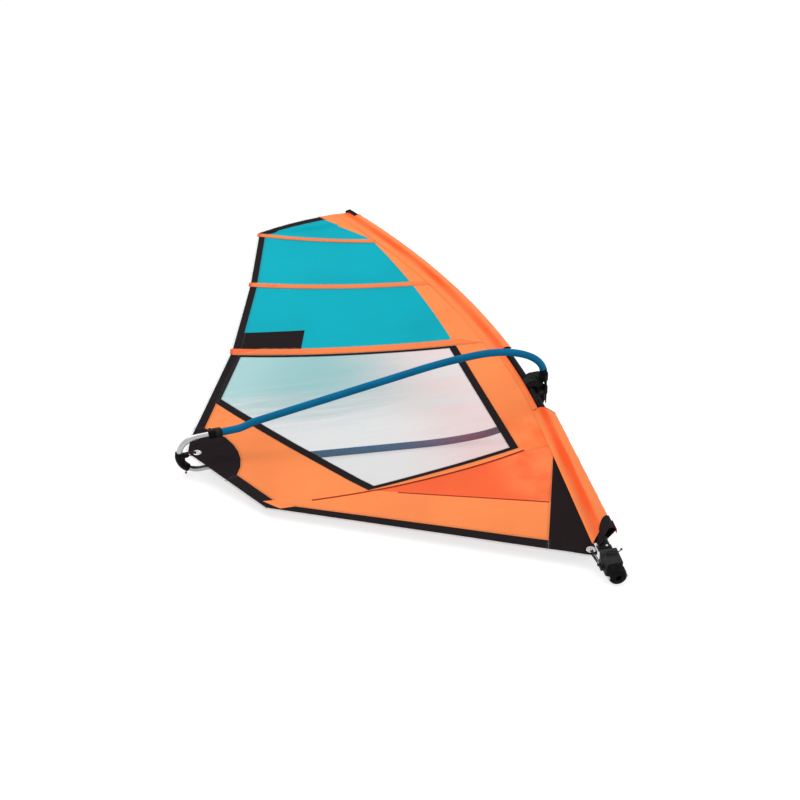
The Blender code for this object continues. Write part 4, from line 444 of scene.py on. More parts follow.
orange = (1.0, 0.275, 0.085)
brushed = {"along": (1.0, 1.0, 300.0), "source": "Object"}
finishes = {
    "orange": sailcloth("orangeCloth", orange),
    "luffOrange": sailcloth("luffCloth", orange, deepen=((0.98, 0.160, 0.038), "Y", 1.05, 0.60)),
    "deepOrange": sailcloth("deepOrangeCloth", (0.97, 0.142, 0.046),
                            deepen=((1.0, 0.245, 0.080), "X", 0.30, 0.12)),
    "pocket": sailcloth("pocketCloth", (0.93, 0.225, 0.070), 0.55, marked=0.0),
    "pocketEnd": sailcloth("pocketEndCloth", (0.93, 0.165, 0.055), 0.55, marked=0.0),
    "teal": sailcloth("tealCloth", (0.001, 0.392, 0.487)),
    "blackCloth": sailcloth("blackPatchCloth", (0.013, 0.0085, 0.0095), 0.66, 0.005, 0.0),
    "tape": webbingCloth("blackTape", (0.012, 0.0084, 0.0095)),
    "seam": sailcloth("seamCloth", (0.33, 0.018, 0.006), 0.5, marked=0.0),
    "sleeve": luffCloth(),
    "film": windowFilm(),
    "fibre": drawnMetal("mastFibre", (0.0045, 0.0043, 0.0045), 0.34, (20.0, 160.0, 1.0), "UV",
                        0.0, 0.05),
    "battenFibre": drawnMetal("battenFibre", (0.60, 0.56, 0.40), 0.5, (4.0, 400.0, 1.0), "Object",
                              0.0, 0.3),
    "foam": foamSkin("blueFoam", (0.001, 0.150, 0.320)),
    "tube": drawnMetal("tubeMetal", (0.50, 0.50, 0.51)),
    "steel": drawnMetal("stainlessSteel", (0.56, 0.56, 0.555), 0.24, **brushed),
    "darkSteel": drawnMetal("blackenedSteel", (0.070, 0.070, 0.074), 0.46, **brushed),
    "black": moulded("blackMoulding", (0.0042, 0.0042, 0.0048)),
    "grey": moulded("greyMoulding", (0.016, 0.016, 0.017), 0.46),
    "block": moulded("blockMoulding", (0.026, 0.0255, 0.026), 0.44),
    "rubber": moulded("blackRubber", (0.007, 0.007, 0.007), 0.70, 400.0),
    "endCap": moulded("orangeMoulding", (0.80, 0.085, 0.025), 0.5),
    "redWebbing": webbingCloth("redWebbing", (0.50, 0.016, 0.035)),
    "line": braid("downhaulBraid", (0.011, 0.011, 0.012), (0.09, 0.09, 0.09)),
    "redLine": braid("outhaulBraid", (0.014, 0.012, 0.013), (0.30, 0.015, 0.03)),
    "thread": threadYarn("threadWhite", (0.72, 0.70, 0.66), (0.80, 0.78, 0.74)),
    "darkThread": threadYarn("threadBlack", (0.035, 0.033, 0.033), (0.06, 0.055, 0.055)),
}
print("materials ready")


# making pieces
def pieceFrom(mesh, name, finish, body=rigBody, nodes=(), smooth=35.0):
    # an object with its finish, on its body; nodes are the solids it stands for
    if isinstance(mesh, bmesh.types.BMesh):
        data = bpy.data.meshes.new(name)
        mesh.to_mesh(data)
        mesh.free()
        mesh = data
    mesh.name = name
    piece = bpy.data.objects.new(name, mesh)
    bpy.context.scene.collection.objects.link(piece)
    mesh.materials.clear()
    mesh.materials.append(finishes[finish])
    mesh.shade_smooth()
    if smooth:
        mesh.set_sharp_from_angle(angle=math.radians(smooth))
    if body:
        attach(piece, body)
    if nodes:
        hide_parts(*nodes)
    return piece


def evaluated(piece):
    # the piece's mesh with its modifiers applied
    bpy.context.view_layer.update()
    graph = bpy.context.evaluated_depsgraph_get()
    mesh = bpy.data.meshes.new_from_object(piece.evaluated_get(graph))
    bpy.data.objects.remove(piece, do_unlink=True)
    return mesh


def throughModifiers(mesh, *modifiers):
    data = bpy.data.meshes.new("raw")
    mesh.to_mesh(data)
    mesh.free()
    piece = bpy.data.objects.new("raw", data)
    bpy.context.scene.collection.objects.link(piece)
    for kind, values in modifiers:
        modifier = piece.modifiers.new(kind, kind)
        for key, value in values.items():
            setattr(modifier, key, value)
    return evaluated(piece)


def thickened(mesh, thick, *more):
    return throughModifiers(mesh, ("SOLIDIFY", {"thickness": thick, "offset": 0.0}), *more)


def flatTop(node, above=None):
    # the upper side of a cloth solid, laid flat in the rig's own plane; above leaves out what
    # stands less than that over the sail
    mesh = bmesh.new()
    mesh.from_mesh(frame["nodes"][node].data)
    mesh.transform(toRig)
    bmesh.ops.remove_doubles(mesh, verts=mesh.verts, dist=2e-5)
    mesh.normal_update()
    drop = []
    for face in mesh.faces:
        middle = face.calc_center_median()
        low = above is not None and middle.z - sailHeight(-middle.x, middle.y) < above
        if face.normal.z < 0.5 or low:
            drop.append(face)
    bmesh.ops.delete(mesh, geom=drop, context="FACES")
    for vert in mesh.verts:
        vert.co.z = 0.0
    bmesh.ops.dissolve_limit(mesh, angle_limit=math.radians(0.5), verts=mesh.verts,
                             edges=mesh.edges)
    return mesh


def moveOutline(mesh, amount):
    # the sheet's outline moved outwards, in its own plane
    sides = {}
    for edge in mesh.edges:
        if edge.is_boundary:
            loop = edge.link_loops[0]
            run = (loop.link_loop_next.vert.co - loop.vert.co).normalized()
            for vert in edge.verts:
                sides.setdefault(vert, []).append(Vector((run.y, -run.x, 0.0)))
    for vert, normals in sides.items():
        if len(normals) == 2:
            both = normals[0] + normals[1]
            if both.length > 0.5:
                vert.co += both * (2.0 * amount / both.length_squared)


def outlineLoops(mesh):
    # closed runs of (aft, high) points round the sheet
    after = {}
    for edge in mesh.edges:
        if edge.is_boundary:
            loop = edge.link_loops[0]
            after[loop.vert] = loop.link_loop_next.vert
    loops = []
    while after:
        start, vert = next(iter(after.items()))
        run = [start]
        del after[start]
        while vert is not start and vert in after:
            run.append(vert)
            vert = after.pop(vert)
        loops.append([(-vert.co.x, vert.co.y) for vert in run])
    return loops


def gridded(mesh, step):
    # cut along a square grid, so that the sheet can follow the camber
    box = [[f([vert.co[axis] for vert in mesh.verts]) for f in (min, max)] for axis in (0, 1)]
    for axis, (low, high) in enumerate(box):
        normal = Vector((1.0 - axis, axis, 0.0))
        for number in range(math.floor(low / step), math.ceil(high / step) + 1):
            everything = mesh.verts[:] + mesh.edges[:] + mesh.faces[:]
            bmesh.ops.bisect_plane(mesh, geom=everything, dist=1e-6, plane_no=normal,
                                   plane_co=normal * step * number)


def edgeDistance(point, loops):
    # from the point to the nearest side of the outlines
    best = 1.0
    for loop in loops:
        for (ax, ay), (bx, by) in zip(loop, loop[1:] + loop[:1]):
            dx, dy = bx - ax, by - ay
            share = ((point[0] - ax) * dx + (point[1] - ay) * dy) / (dx * dx + dy * dy or 1.0)
            share = min(1.0, max(0.0, share))
            best = min(best, math.hypot(ax + dx * share - point[0], ay + dy * share - point[1]))
    return best


stitchRuns = {"thread": [], "darkThread": []}
stitchRow = {"pitch": 0.0028, "width": 0.0022, "radius": 0.00022, "inset": 0.0030, "apart": 0.0042,
             "step": 0.02, "panelInset": 0.0035, "clear": 0.004}


def stepped(points):
    # the run cut into short straight steps, so that it can follow the camber
    run = []
    for (ax, ay), (bx, by) in zip(points, points[1:]):
        count = max(1, round(math.dist((ax, ay), (bx, by)) / stitchRow["step"]))
        run += [(ax + (bx - ax) * k / count, ay + (by - ay) * k / count) for k in range(count)]
    return run + [points[-1]]


def stitchAlong(points, lift, thread="thread"):
    # zigzag on both faces of the cloth, along points given as (aft, high)
    for rise in (lift, -lift):
        stitchRuns[thread].append([(aft, high, clothHeight(aft, high) + rise)
                                   for aft, high in stepped(points)])


def shiftedLine(points, amount):
    # moved to the left of its run
    moved = []
    for number, (x, y) in enumerate(points):
        (ax, ay), (bx, by) = points[max(number - 1, 0)], points[min(number + 1, len(points) - 1)]
        run = math.hypot(bx - ax, by - ay) or 1.0
        moved.append((x - (by - ay) / run * amount, y + (bx - ax) / run * amount))
    return moved


def inset(loop, amount):
    # a closed outline moved inwards
    moved = []
    for (ax, ay), (x, y), (bx, by) in zip(loop[-1:] + loop, loop, loop[1:] + loop[:1]):
        first = Vector((x - ax, y - ay)).normalized()
        second = Vector((bx - x, by - y)).normalized()
        both = Vector((-first.y - second.y, first.x + second.x))
        if both.length > 0.5:
            both *= 2.0 / both.length_squared
        moved.append((x + both.x * amount, y + both.y * amount))
    return moved


def areaOf(mesh):
    return sum(face.calc_area() for face in mesh.faces)


def flatSize(mesh):
    # sides of the smallest turned rectangle round the cut, and its area
    area = areaOf(mesh)
    points = [(vert.co.x, vert.co.y) for vert in mesh.verts]
    best = None
    for degrees in range(0, 90, 2):
        c, s = math.cos(math.radians(degrees)), math.sin(math.radians(degrees))
        across = [x * c + y * s for x, y in points]
        along = [y * c - x * s for x, y in points]
        size = (max(across) - min(across), max(along) - min(along))
        if best is None or size[0] * size[1] < best[0] * best[1]:
            best = size
    width, length = sorted(best)
    if area < 0.32 * width * length:      # a narrow tape, measured along its run
        width = 2.0 * area / sum(edge.calc_length() for edge in mesh.edges if edge.is_boundary)
        return (width, area / width), area
    return (width, length), area


def laidOnSail(mesh, standOff, thick):
    # a flat cut laid on the cloth, from which it stands off by standOff(aft, high)
    layer = mesh.loops.layers.uv.new("UVMap")
    for face in mesh.faces:
        for loop in face.loops:
            loop[layer].uv = (-loop.vert.co.x, loop.vert.co.y)
    for vert in mesh.verts:
        aft, high = -vert.co.x, vert.co.y
        vert.co.z = clothHeight(aft, high) + standOff(aft, high)
    mesh.transform(rig)
    return thickened(mesh, thick)


def clothPiece(name, node, finish, lift=0.0, thick=sail["cloth"], lap=0.0, crown=0.0, wide=0.01,
               above=None, stitches=0, thread="thread", slot="orange_cloth"):
    # a sheet in place of a cloth solid: lap widens it, and crown raises it over its edge's width
    mesh = flatTop(node, above)
    loops = outlineLoops(mesh)
    if lap:
        moveOutline(mesh, lap)
    flat, area = flatSize(mesh)
    gridded(mesh, sail["fineGrid"] if crown else sail["grid"])
    if crown and lap:
        loops = outlineLoops(mesh)

    def standOff(aft, high):
        near = min(1.0, edgeDistance((aft, high), loops) / wide) if crown else 0.0
        return lift + crown * math.sqrt(max(0.0, 1.0 - (1.0 - near) ** 2))

    piece = pieceFrom(laidOnSail(mesh, standOff, thick), name, finish, nodes=[node])
    min(area, flat[0] * flat[1])
    top = lift + crown * 0.5 + thick / 2 + stitchRow["radius"]
    for loop in loops:
        for number in range(stitches):
            inner = inset(loop, stitchRow["inset"] + stitchRow["apart"] * number)
            stitchAlong(inner + inner[:1], top, thread)


panels = {
    # finish, layer, slot
    "head_panel": ("teal", 0, "teal_cloth"),
    "upper_panel": ("teal", -1, "teal_cloth"),
    "middle_panel": ("teal", 0, "teal_cloth"),
    "luff_panel": ("luffOrange", 1, "orange_cloth"),
    "clew_panel": ("orange", 0, "orange_cloth"),
    "tack_panel": ("deepOrange", -1, "orange_cloth"),
    "foot_panel": ("orange", 1, "orange_cloth"),
}
for node, (finish, layer, slot) in panels.items():
    clothPiece(node + "_cloth", node, finish, layer * sail["layer"], lap=sail["lap"], slot=slot)
clothPiece("window_film_sheet", "window", "film", -sail["layer"], thick=sail["film"],
           lap=sail["lap"], slot="window_film")
tapes = {
    # finish, rows of stitches
    "leech_tape": ("tape", 2), "foot_tape": ("tape", 2), "window_tape": ("tape", 1),
    "clew_patch": ("blackCloth", 2), "tack_patch": ("blackCloth", 2), "cutout_binding": ("tape", 1),
}
for node, (finish, rows) in tapes.items():
    clothPiece(node + "_cloth", node, finish, thick=sail["tape"], stitches=rows,
               thread="darkThread", slot="black_cloth")
pocketLap = {"head": -0.0065, "middle": -0.0050, "window": -0.0015}
pocket = {"lift": 0.0014, "thick": 0.0007, "crown": 0.0040, "wide": 0.0085, "above": 0.0035}
for part, lap in pocketLap.items():
    node = "batten_pocket_" + part
    clothPiece(node + "_cloth", node, "pocket", lap=lap, stitches=1, **pocket)


def layFlat(mesh, name, finish, lift, thick):
    # a cut piece, drawn in the sail's own plane, laid on the cloth
    gridded(mesh, sail["grid"])
    return pieceFrom(laidOnSail(mesh, lambda aft, high: lift, thick), name, finish)


def planMesh(corners):
    # one flat face that looks out of the sail
    mesh = bmesh.new()
    face = mesh.faces.new([mesh.verts.new((-aft, high, 0.0)) for aft, high in corners])
    face.normal_update()
    if face.normal.z < 0.0:
        face.normal_flip()
    return mesh


patches = {
    # finish, lift, slot, corners as (aft, high)
    "corner_patch": ("blackCloth", 0.0006, "black_cloth",
                     [(1.1120, 1.6870), (0.8414, 1.6690), (0.8790, 1.5190), (1.1580, 1.5560)]),
    "foot_kink_tab": ("orange", 0.0014, "orange_cloth",
                      [(1.1584, 0.5249), (1.1079, 0.5243), (1.0432, 0.4706), (1.0986, 0.4670)]),
    "tack_webbing": ("tape", 0.0015, "black_cloth",
                     [(0.1221, 0.0616), (0.0530, 0.0290), (0.0560, -0.0170), (0.1352, 0.0190)]),
}
for name, (finish, lift, slot, corners) in patches.items():
    mesh = planMesh(corners)
    flat, area = flatSize(mesh)
    piece = layFlat(mesh, name, finish, lift, sail["patch"])
    min(area, flat[0] * flat[1])
seamTape = {"window_seam": 0.0074, "tack_seam": 0.0052, "lift": 0.0012, "thick": 0.0005,
            "kink": (1.0994, 0.4968), "luff": (0.1160, 0.6150), "start": 0.9745, "step": 0.0286}


def seamHigh(aft):
    # the curved seam under the window
    (kinkAft, kinkHigh), (luffAft, luffHigh) = seamTape["kink"], seamTape["luff"]
    return kinkHigh + (luffHigh - kinkHigh) * ((kinkAft - aft) / (kinkAft - luffAft)) ** 2


seams = {
    "window_seam": [(aft, seamHigh(aft)) for aft in
                    (seamTape["start"] - seamTape["step"] * k for k in range(31))],
    "tack_seam": [(0.6469, 0.4788), (0.1060, 0.2827)],
}
for name, points in seams.items():
    left, right = (shiftedLine(points, side * seamTape[name] / 2) for side in (1, -1))
    layFlat(planMesh(left + right[::-1]), name, "seam", seamTape["lift"], seamTape["thick"])
print("sail cloth ready")


# threads that hold tapes, patches, pockets and panels
def insideLoop(point, loop):
    # even and odd crossings
    x, y = point
    hit = False
    for (ax, ay), (bx, by) in zip(loop, loop[1:] + loop[:1]):
        if (ay > y) != (by > y) and x < ax + (bx - ax) * (y - ay) / (by - ay):
            hit = not hit
    return hit


coveredLoops = [loop for node in tapes for loop in outlineLoops(flatTop(node))]


def seamShows(point):
    # behind the sleeve, and under no tape or patch
    behind = point[0] - mastAft(point[1]) > sail["seam"] + stitchRow["clear"]
    return behind and sum(insideLoop(point, covered) for covered in coveredLoops) % 2 == 0


def stitchPanel(node, lift):
    # the panel's own seams, where they show
    for loop in outlineLoops(flatTop(node)):
        inner = inset(loop, stitchRow["panelInset"])
        kept = []
        for point in stepped(inner + inner[:1]) + [None]:
            if point and seamShows(point):
                kept.append(point)
                continue
            if len(kept) > 2:
                stitchAlong(kept, lift + sail["cloth"] / 2 + stitchRow["radius"])
            kept = []


for node, (finish, layer, slot) in panels.items():
    stitchPanel(node, layer * sail["layer"])


def newTree(name, **inputs):
    # a modifier's tree, with its inputs by name
    tree = bpy.data.node_groups.new(name, "GeometryNodeTree")
    tree.is_modifier = True
    tree.interface.new_socket("Geometry", in_out="INPUT", socket_type="NodeSocketGeometry")
    for label, kind in inputs.items():
        tree.interface.new_socket(label, in_out="INPUT", socket_type="NodeSocket" + kind)
    tree.interface.new_socket("Geometry", in_out="OUTPUT", socket_type="NodeSocketGeometry")
    given = tree.nodes.new("NodeGroupInput").outputs
    return tree, {label: Signal(tree, given[label]) for label in ("Geometry", *inputs)}


def finishTree(geometry, finish):
    # real geometry with its material, as the tree's result
    tree = geometry.tree
    real = addNode(tree, "GeometryNodeRealizeInstances", {0: geometry})
    done = addNode(tree, "GeometryNodeSetMaterial", {"Geometry": real, "Material": finish})
    feed(tree.nodes.new("NodeGroupOutput").inputs[0], done)
    return tree


def zigzagTree():
    tree, given = newTree("zigzagThread", Step="Float", Width="Float", Radius="Float",
                          Out="Vector", Finish="Material")
    curve = addNode(tree, "GeometryNodeMeshToCurve", {0: given["Geometry"]})
    even = addNode(tree, "GeometryNodeResampleCurve", {"Curve": curve, "Length": given["Step"]},
                   mode="LENGTH")
    tangent = addNode(tree, "GeometryNodeInputTangent")
    aside = addNode(tree, "ShaderNodeVectorMath", {0: tangent, 1: given["Out"]},
                    operation="CROSS_PRODUCT")
    swing = mathNode("MODULO", addNode(tree, "GeometryNodeInputIndex"), 2.0) - 0.5
    offset = addNode(tree, "ShaderNodeVectorMath", {0: aside, "Scale": swing * given["Width"]},
                     operation="SCALE")
    moved = addNode(tree, "GeometryNodeSetPosition", {"Geometry": even, "Offset": offset})
    ring = addNode(tree, "GeometryNodeCurvePrimitiveCircle",
                   {"Resolution": 3, "Radius": given["Radius"]})
    tube = addNode(tree, "GeometryNodeCurveToMesh",
                   {"Curve": moved, "Profile Curve": ring, "Fill Caps": True})
    return finishTree(tube, given["Finish"])


def ribTree():
    # short round ribs that stand in a ring, all along the ring's axis
    tree, given = newTree("ribRing", Count="Int", Ring="Float", Length="Float", Radius="Float",
                          Finish="Material")
    ring = addNode(tree, "GeometryNodeCurvePrimitiveCircle",
                   {"Resolution": given["Count"], "Radius": given["Ring"]})
    rib = addNode(tree, "GeometryNodeMeshCylinder",
                  {"Vertices": 6, "Radius": given["Radius"], "Depth": given["Length"]})
    stood = addNode(tree, "GeometryNodeInstanceOnPoints", {"Points": ring, "Instance": rib})
    return finishTree(stood, given["Finish"])


def throughTree(data, tree, values):
    # the tree's result on this mesh, as a plain mesh
    carrier = bpy.data.objects.new(tree.name, data)
    bpy.context.scene.collection.objects.link(carrier)
    modifier = carrier.modifiers.new(tree.name, "NODES")
    modifier.node_group = tree
    for item in tree.interface.items_tree:
        if item.in_out == "INPUT" and item.name in values:
            modifier[item.identifier] = values[item.name]
    return evaluated(carrier)


def lineMesh(runs):
    data = bpy.data.meshes.new("runs")
    points, edges = [], []
    for run in runs:
        start = len(points)
        points += [onRig(*spot) for spot in run]
        edges += [(start + k, start + k + 1) for k in range(len(run) - 1)]
    data.from_pydata(points, edges, [])
    return data


zigzag = zigzagTree()
for thread, name, slot in (("thread", "sail_stitching", "orange_cloth"),
                           ("darkThread", "tape_stitching", "black_cloth")):
    runs = stitchRuns[thread]
    half = len(runs) // 2
    for number, share in enumerate((runs[:half], runs[half:]), 1):
        made = throughTree(lineMesh(share), zigzag, {
            "Step": stitchRow["pitch"], "Width": stitchRow["width"], "Radius": stitchRow["radius"],
            "Out": tuple(sailOut), "Finish": finishes[thread]})
        pieceFrom(made, "%s_%d" % (name, number), thread, smooth=0)
print("stitching ready")


# swept, lofted and turned shapes
def around(points):
    # a steady pair of directions across the path at each of its points
    runs = [(after - before).normalized() for before, after in zip(points, points[1:])]
    side = runs[0].orthogonal().normalized()
    pairs = []
    for coming, going in zip(runs[:1] + runs, runs + runs[-1:]):
        heading = (coming + going).normalized()
        side = (side - heading * side.dot(heading)).normalized()
        pairs.append((side, heading.cross(side)))
    return pairs


def ringRound(centre, pair, radius, sides):
    turn = [math.tau * k / sides for k in range(sides)]
    return [centre + pair[0] * radius * math.cos(a) + pair[1] * radius * math.sin(a) for a in turn]


def lofted(rings, wrap=False):
    # rings of equal count; u runs along the shape, v round it, both in metres
    mesh = bmesh.new()
    layer = mesh.loops.layers.uv.new("UVMap")
    made = [[mesh.verts.new(point) for point in ring] for ring in rings]
    count = len(rings[0])
    lengths = travel([ring[0] for ring in rings + rings[:1]])
    pairs = list(zip(made, made[1:] + made[:1]))[:None if wrap else -1]
    for number, (before, after) in enumerate(pairs):
        girth = travel(rings[number] + rings[number][:1])[-1]
        for k in range(count):
            nextK = (k + 1) % count
            face = mesh.faces.new((before[k], before[nextK], after[nextK], after[k]))
            spots = ((number, k), (number, k + 1), (number + 1, k + 1), (number + 1, k))
            for loop, (row, column) in zip(face.loops, spots):
                loop[layer].uv = (lengths[row], girth * column / count)
    if not wrap:
        mesh.faces.new(made[0][::-1])
        mesh.faces.new(made[-1])
    bmesh.ops.recalc_face_normals(mesh, faces=mesh.faces)
    return mesh


def swept(points, radii, sides=24, inner=None):
    # a rod along the path, or a tube; each radius is one number or one for each point
    pairs = around(points)
    rings = []
    for radius in (radii, inner):
        if radius is not None:
            each = radius if isinstance(radius, list) else [radius] * len(points)
            rings.append([ringRound(*spot, sides) for spot in zip(points, pairs, each)])
    return lofted(rings[0]) if inner is None else lofted(rings[0] + rings[1][::-1], wrap=True)


def turned(profile, matrix):
    # a closed profile of (radius, along) turned round the matrix's z
    axes = Vector((1.0, 0.0, 0.0)), Vector((0.0, 1.0, 0.0))
    rings = [ringRound(Vector((0.0, 0.0, along)), axes, radius, 48) for radius, along in profile]
    return lofted([[matrix @ spot for spot in ring] for ring in rings], wrap=True)


def bandProfile(inside, outside, half, cut):
    # a flat ring's section, each corner rounded in three steps
    corners = [Vector(spot) for spot in ((inside, -half), (outside, -half), (outside, half),
                                         (inside, half))]
    profile = []
    for before, here, after in zip(corners[-1:] + corners, corners, corners[1:] + corners[:1]):
        start = here - (here - before).normalized() * cut
        end = here + (after - here).normalized() * cut
        for t in (0.0, 0.5, 1.0):
            profile.append(tuple(start * (1 - t) ** 2 + here * 2 * t * (1 - t) + end * t ** 2))
    return profile


def ovalRing(wide, thick, sides, boxy=(0.35, 0.8)):
    # a flat oval section as (across, up), boxier where the powers are smaller
    ring = []
    for k in range(sides):
        across, up = math.cos(math.tau * k / sides), math.sin(math.tau * k / sides)
        ring.append((math.copysign(abs(across) ** boxy[0], across) * wide / 2,
                     math.copysign(abs(up) ** boxy[1], up) * thick / 2))
    return ring


def curved(points, steps):
    # Catmull-Rom through the points
    result = []
    whole = [points[0] * 2 - points[1]] + list(points) + [points[-1] * 2 - points[-2]]
    for a, b, c, d in zip(whole, whole[1:], whole[2:], whole[3:]):
        for k in range(steps):
            t = k / steps
            result.append(0.5 * ((2 * b) + (c - a) * t + (2 * a - 5 * b + 4 * c - d) * t * t
                                 + (3 * b - a - 3 * c + d) * t ** 3))
    return result + [Vector(points[-1])]


def gridMesh(points, uvAt, outside=None, shading=None):
    # faces between rows of points; uvAt gives u and v at a row and column, shading how much painted
    # shade the cloth gets by the mast there, and the sheet's middle looks towards outside
    mesh = bmesh.new()
    layer = mesh.loops.layers.uv.new("UVMap")
    behind = mesh.verts.layers.float.new("mastBehind") if shading else None
    rows = [[mesh.verts.new(point) for point in row] for row in points]
    for row, shares in zip(rows, shading or ()):
        for vert, share in zip(row, shares):
            vert[behind] = share
    for r in range(len(rows) - 1):
        for c in range(len(rows[0]) - 1):
            corners = ((r, c), (r, c + 1), (r + 1, c + 1), (r + 1, c))
            face = mesh.faces.new([rows[row][column] for row, column in corners])
            for loop, spot in zip(face.loops, corners):
                loop[layer].uv = uvAt(*spot)
    mesh.normal_update()
    middle = rows[len(rows) // 2][len(rows[0]) // 2]
    if outside is not None and middle.normal.dot(outside) < 0.0:
        bmesh.ops.reverse_faces(mesh, faces=mesh.faces)
    return mesh


def refined(node, finish, width, angle):
    # the CAD solid with its edges rounded
    mesh = bmesh.new()
    mesh.from_mesh(frame["nodes"][node].data)
    bmesh.ops.remove_doubles(mesh, verts=mesh.verts, dist=1e-5)
    bmesh.ops.dissolve_limit(mesh, angle_limit=math.radians(1.0), verts=mesh.verts,
                             edges=mesh.edges)
    made = throughModifiers(mesh, ("BEVEL", {"width": width, "segments": 2, "limit_method": "ANGLE",
                                             "angle_limit": math.radians(angle),
                                             "harden_normals": True}))
    pieceFrom(made, node + "_form", finish, bodyNodes.get(node, rigBody), [node], angle)


bodyNodes = {
    "pulley_box": "extension", "base_cup": "extension", "tail_fitting": "boom_tail",
    **{body: body for body in (
        "downhaul_sheave_front", "downhaul_sheave_rear", "outhaul_sheave_upper",
        "outhaul_sheave_lower", "collar_lock", "cup_button_front", "cup_button_rear",
        "boom_head_lever", "clip_lever_upper", "clip_lever_lower")},
}
# finish, width of the rounding, angle from which an edge is rounded, slot, and the solids
roundedParts = (
    ("rubber", 0.0008, 28.0, "black_plastic", ["mast_tip_cap"]),
    ("rubber", 0.0005, 40.0, "black_rubber", ["boom_head_pad"]),
    ("black", 0.0012, 28.0, "black_plastic", ["boom_head"]),
    ("black", 0.0008, 28.0, "black_plastic", ["boom_head_lever"]),
    ("black", 0.0006, 28.0, "black_plastic", ["tail_fitting", "clip_upper", "clip_lower",
                                              "base_cup"]),
    ("black", 0.0005, 28.0, "black_plastic", ["extension_collar"]),
    ("block", 0.0010, 28.0, "black_plastic", ["pulley_box"]),
    ("grey", 0.0007, 28.0, "black_plastic", ["clip_lever_upper", "clip_lever_lower"]),
    ("grey", 0.0005, 28.0, "grey_plastic", ["boom_head_band"]),
    ("grey", 0.0002, 50.0, "grey_plastic", ["outhaul_sheave_upper", "outhaul_sheave_lower",
                                            "downhaul_sheave_front", "downhaul_sheave_rear"]),
    ("steel", 0.0004, 28.0, "grey_plastic", ["collar_lock", "cup_button_front",
                                             "cup_button_rear"]),
    ("darkSteel", 0.0004, 28.0, "steel", ["boom_head_pin"]),
)
for finish, width, angle, slot, nodes in roundedParts:
    for node in nodes:
        refined(node, finish, width, angle)
print("moulded parts ready")


# mast and its luff sleeve
mastLook = {"sides": 48, "step": 0.03, "wall": 0.0024, "gap": 0.0002,
            "ferrule": 0.14, "ferruleIn": 0.0034,
            "rings": (0.905, 0.925, 1.272), "ringHalf": 0.004, "ringIn": 0.001, "ringOut": 0.0003,
            "ringCut": 0.0002}


def mastTube(low, high):
    heights = evenly(low, high, round((high - low) / mastLook["step"]))
    radii = [mastRadius(h) for h in heights]
    return swept([onRig(mastAft(h), h) for h in heights], radii, mastLook["sides"],
                 [radius - mastLook["wall"] for radius in radii])


for node, low, high in (("mast_lower", mast["foot"], mast["joint"] - mastLook["gap"]),
                        ("mast_upper", mast["joint"] + mastLook["gap"], mast["tip"])):
    pieceFrom(mastTube(low, high), node + "_tube", "fibre", nodes=[node])
ferrule = evenly(mast["joint"] - mastLook["ferrule"], mast["joint"] + mastLook["ferrule"], 4)
pieceFrom(swept([onRig(mastAft(high), high) for high in ferrule],
                mastRadius(mast["joint"]) - mastLook["ferruleIn"], 32),
          "mast_ferrule", "fibre")
for high in mastLook["rings"]:   # printed trim rings on the bare mast
    ring = bandProfile(mastRadius(high) - mastLook["ringIn"],
                       mastRadius(high) + mastLook["ringOut"], mastLook["ringHalf"],
                       mastLook["ringCut"])
    turnUp = mastFrame(high) @ Matrix.Rotation(math.radians(-90), 4, "X")
    pieceFrom(turned(ring, turnUp), "mast_ring_%d" % round(high * 1000), "grey")

# shadeAt and shadeReach place the painted shade band across each sleeve, and shade sets how dark it
# gets
sleeves = {
    "sleeve_upper": {"low": 1.290, "top": 2.615, "lowLean": -0.40, "topLean": 1.0, "back": 0.0548,
                     "noseFrom": 1.290, "noseLow": 0.0340, "noseTop": 0.0310, "half": 0.0,
                     "fadeIn": (0.0, 0.1), "bindings": (0.0015, 0.0015),
                     "shadeAt": -0.019, "shadeReach": 0.0200, "shade": 1.1},
    "sleeve_lower": {"low": 0.060, "top": 0.834, "lowLean": -0.90, "topLean": 0.50, "back": 0.0318,
                     "noseFrom": 0.117, "noseLow": 0.0630, "noseTop": 0.0450, "half": 0.0245,
                     "fadeIn": (0.13, 0.26), "bindings": (0.0010, 0.0015),
                     "shadeAt": -0.0045, "shadeReach": 0.0205, "shade": 1.35},
}
sleeveLook = {"cloth": 0.0007, "loose": 0.0012, "step": 0.009, "around": 16, "fold": 0.075,
              "heldOpen": (0.15, 0.32), "upperWrinkle": 0.0012, "lowerWrinkle": 0.0030,
              "seamLaps": (0.007, 0.001), "seamHalf": 0.0019, "slack": 0.0005}


def noseFront(high, kind):
    # how far the sleeve reaches ahead of the mast axis, at this height of its nose
    share = min(1.0, max(0.0, (high - kind["noseFrom"]) / (kind["top"] - kind["noseFrom"])))
    return kind["noseLow"] + (kind["noseTop"] - kind["noseLow"]) * share


def smoothStep(value, low, high):
    share = min(1.0, max(0.0, (value - low) / (high - low)))
    return share * share * (3.0 - 2.0 * share)


def overMast(high):
    # how far out the sleeve stands where it passes over the mast
    return (mastRadius(high) + sleeveLook["loose"]) * 1.035


def leanAt(high, low, top, lowLean, topLean):
    # both ends of a sleeve are cut at a slant, which fades along the cloth
    return (lowLean * max(0.0, 1.0 - (high - low) / sleeveLook["fold"])
            + topLean * max(0.0, 1.0 - (top - high) / sleeveLook["fold"]))


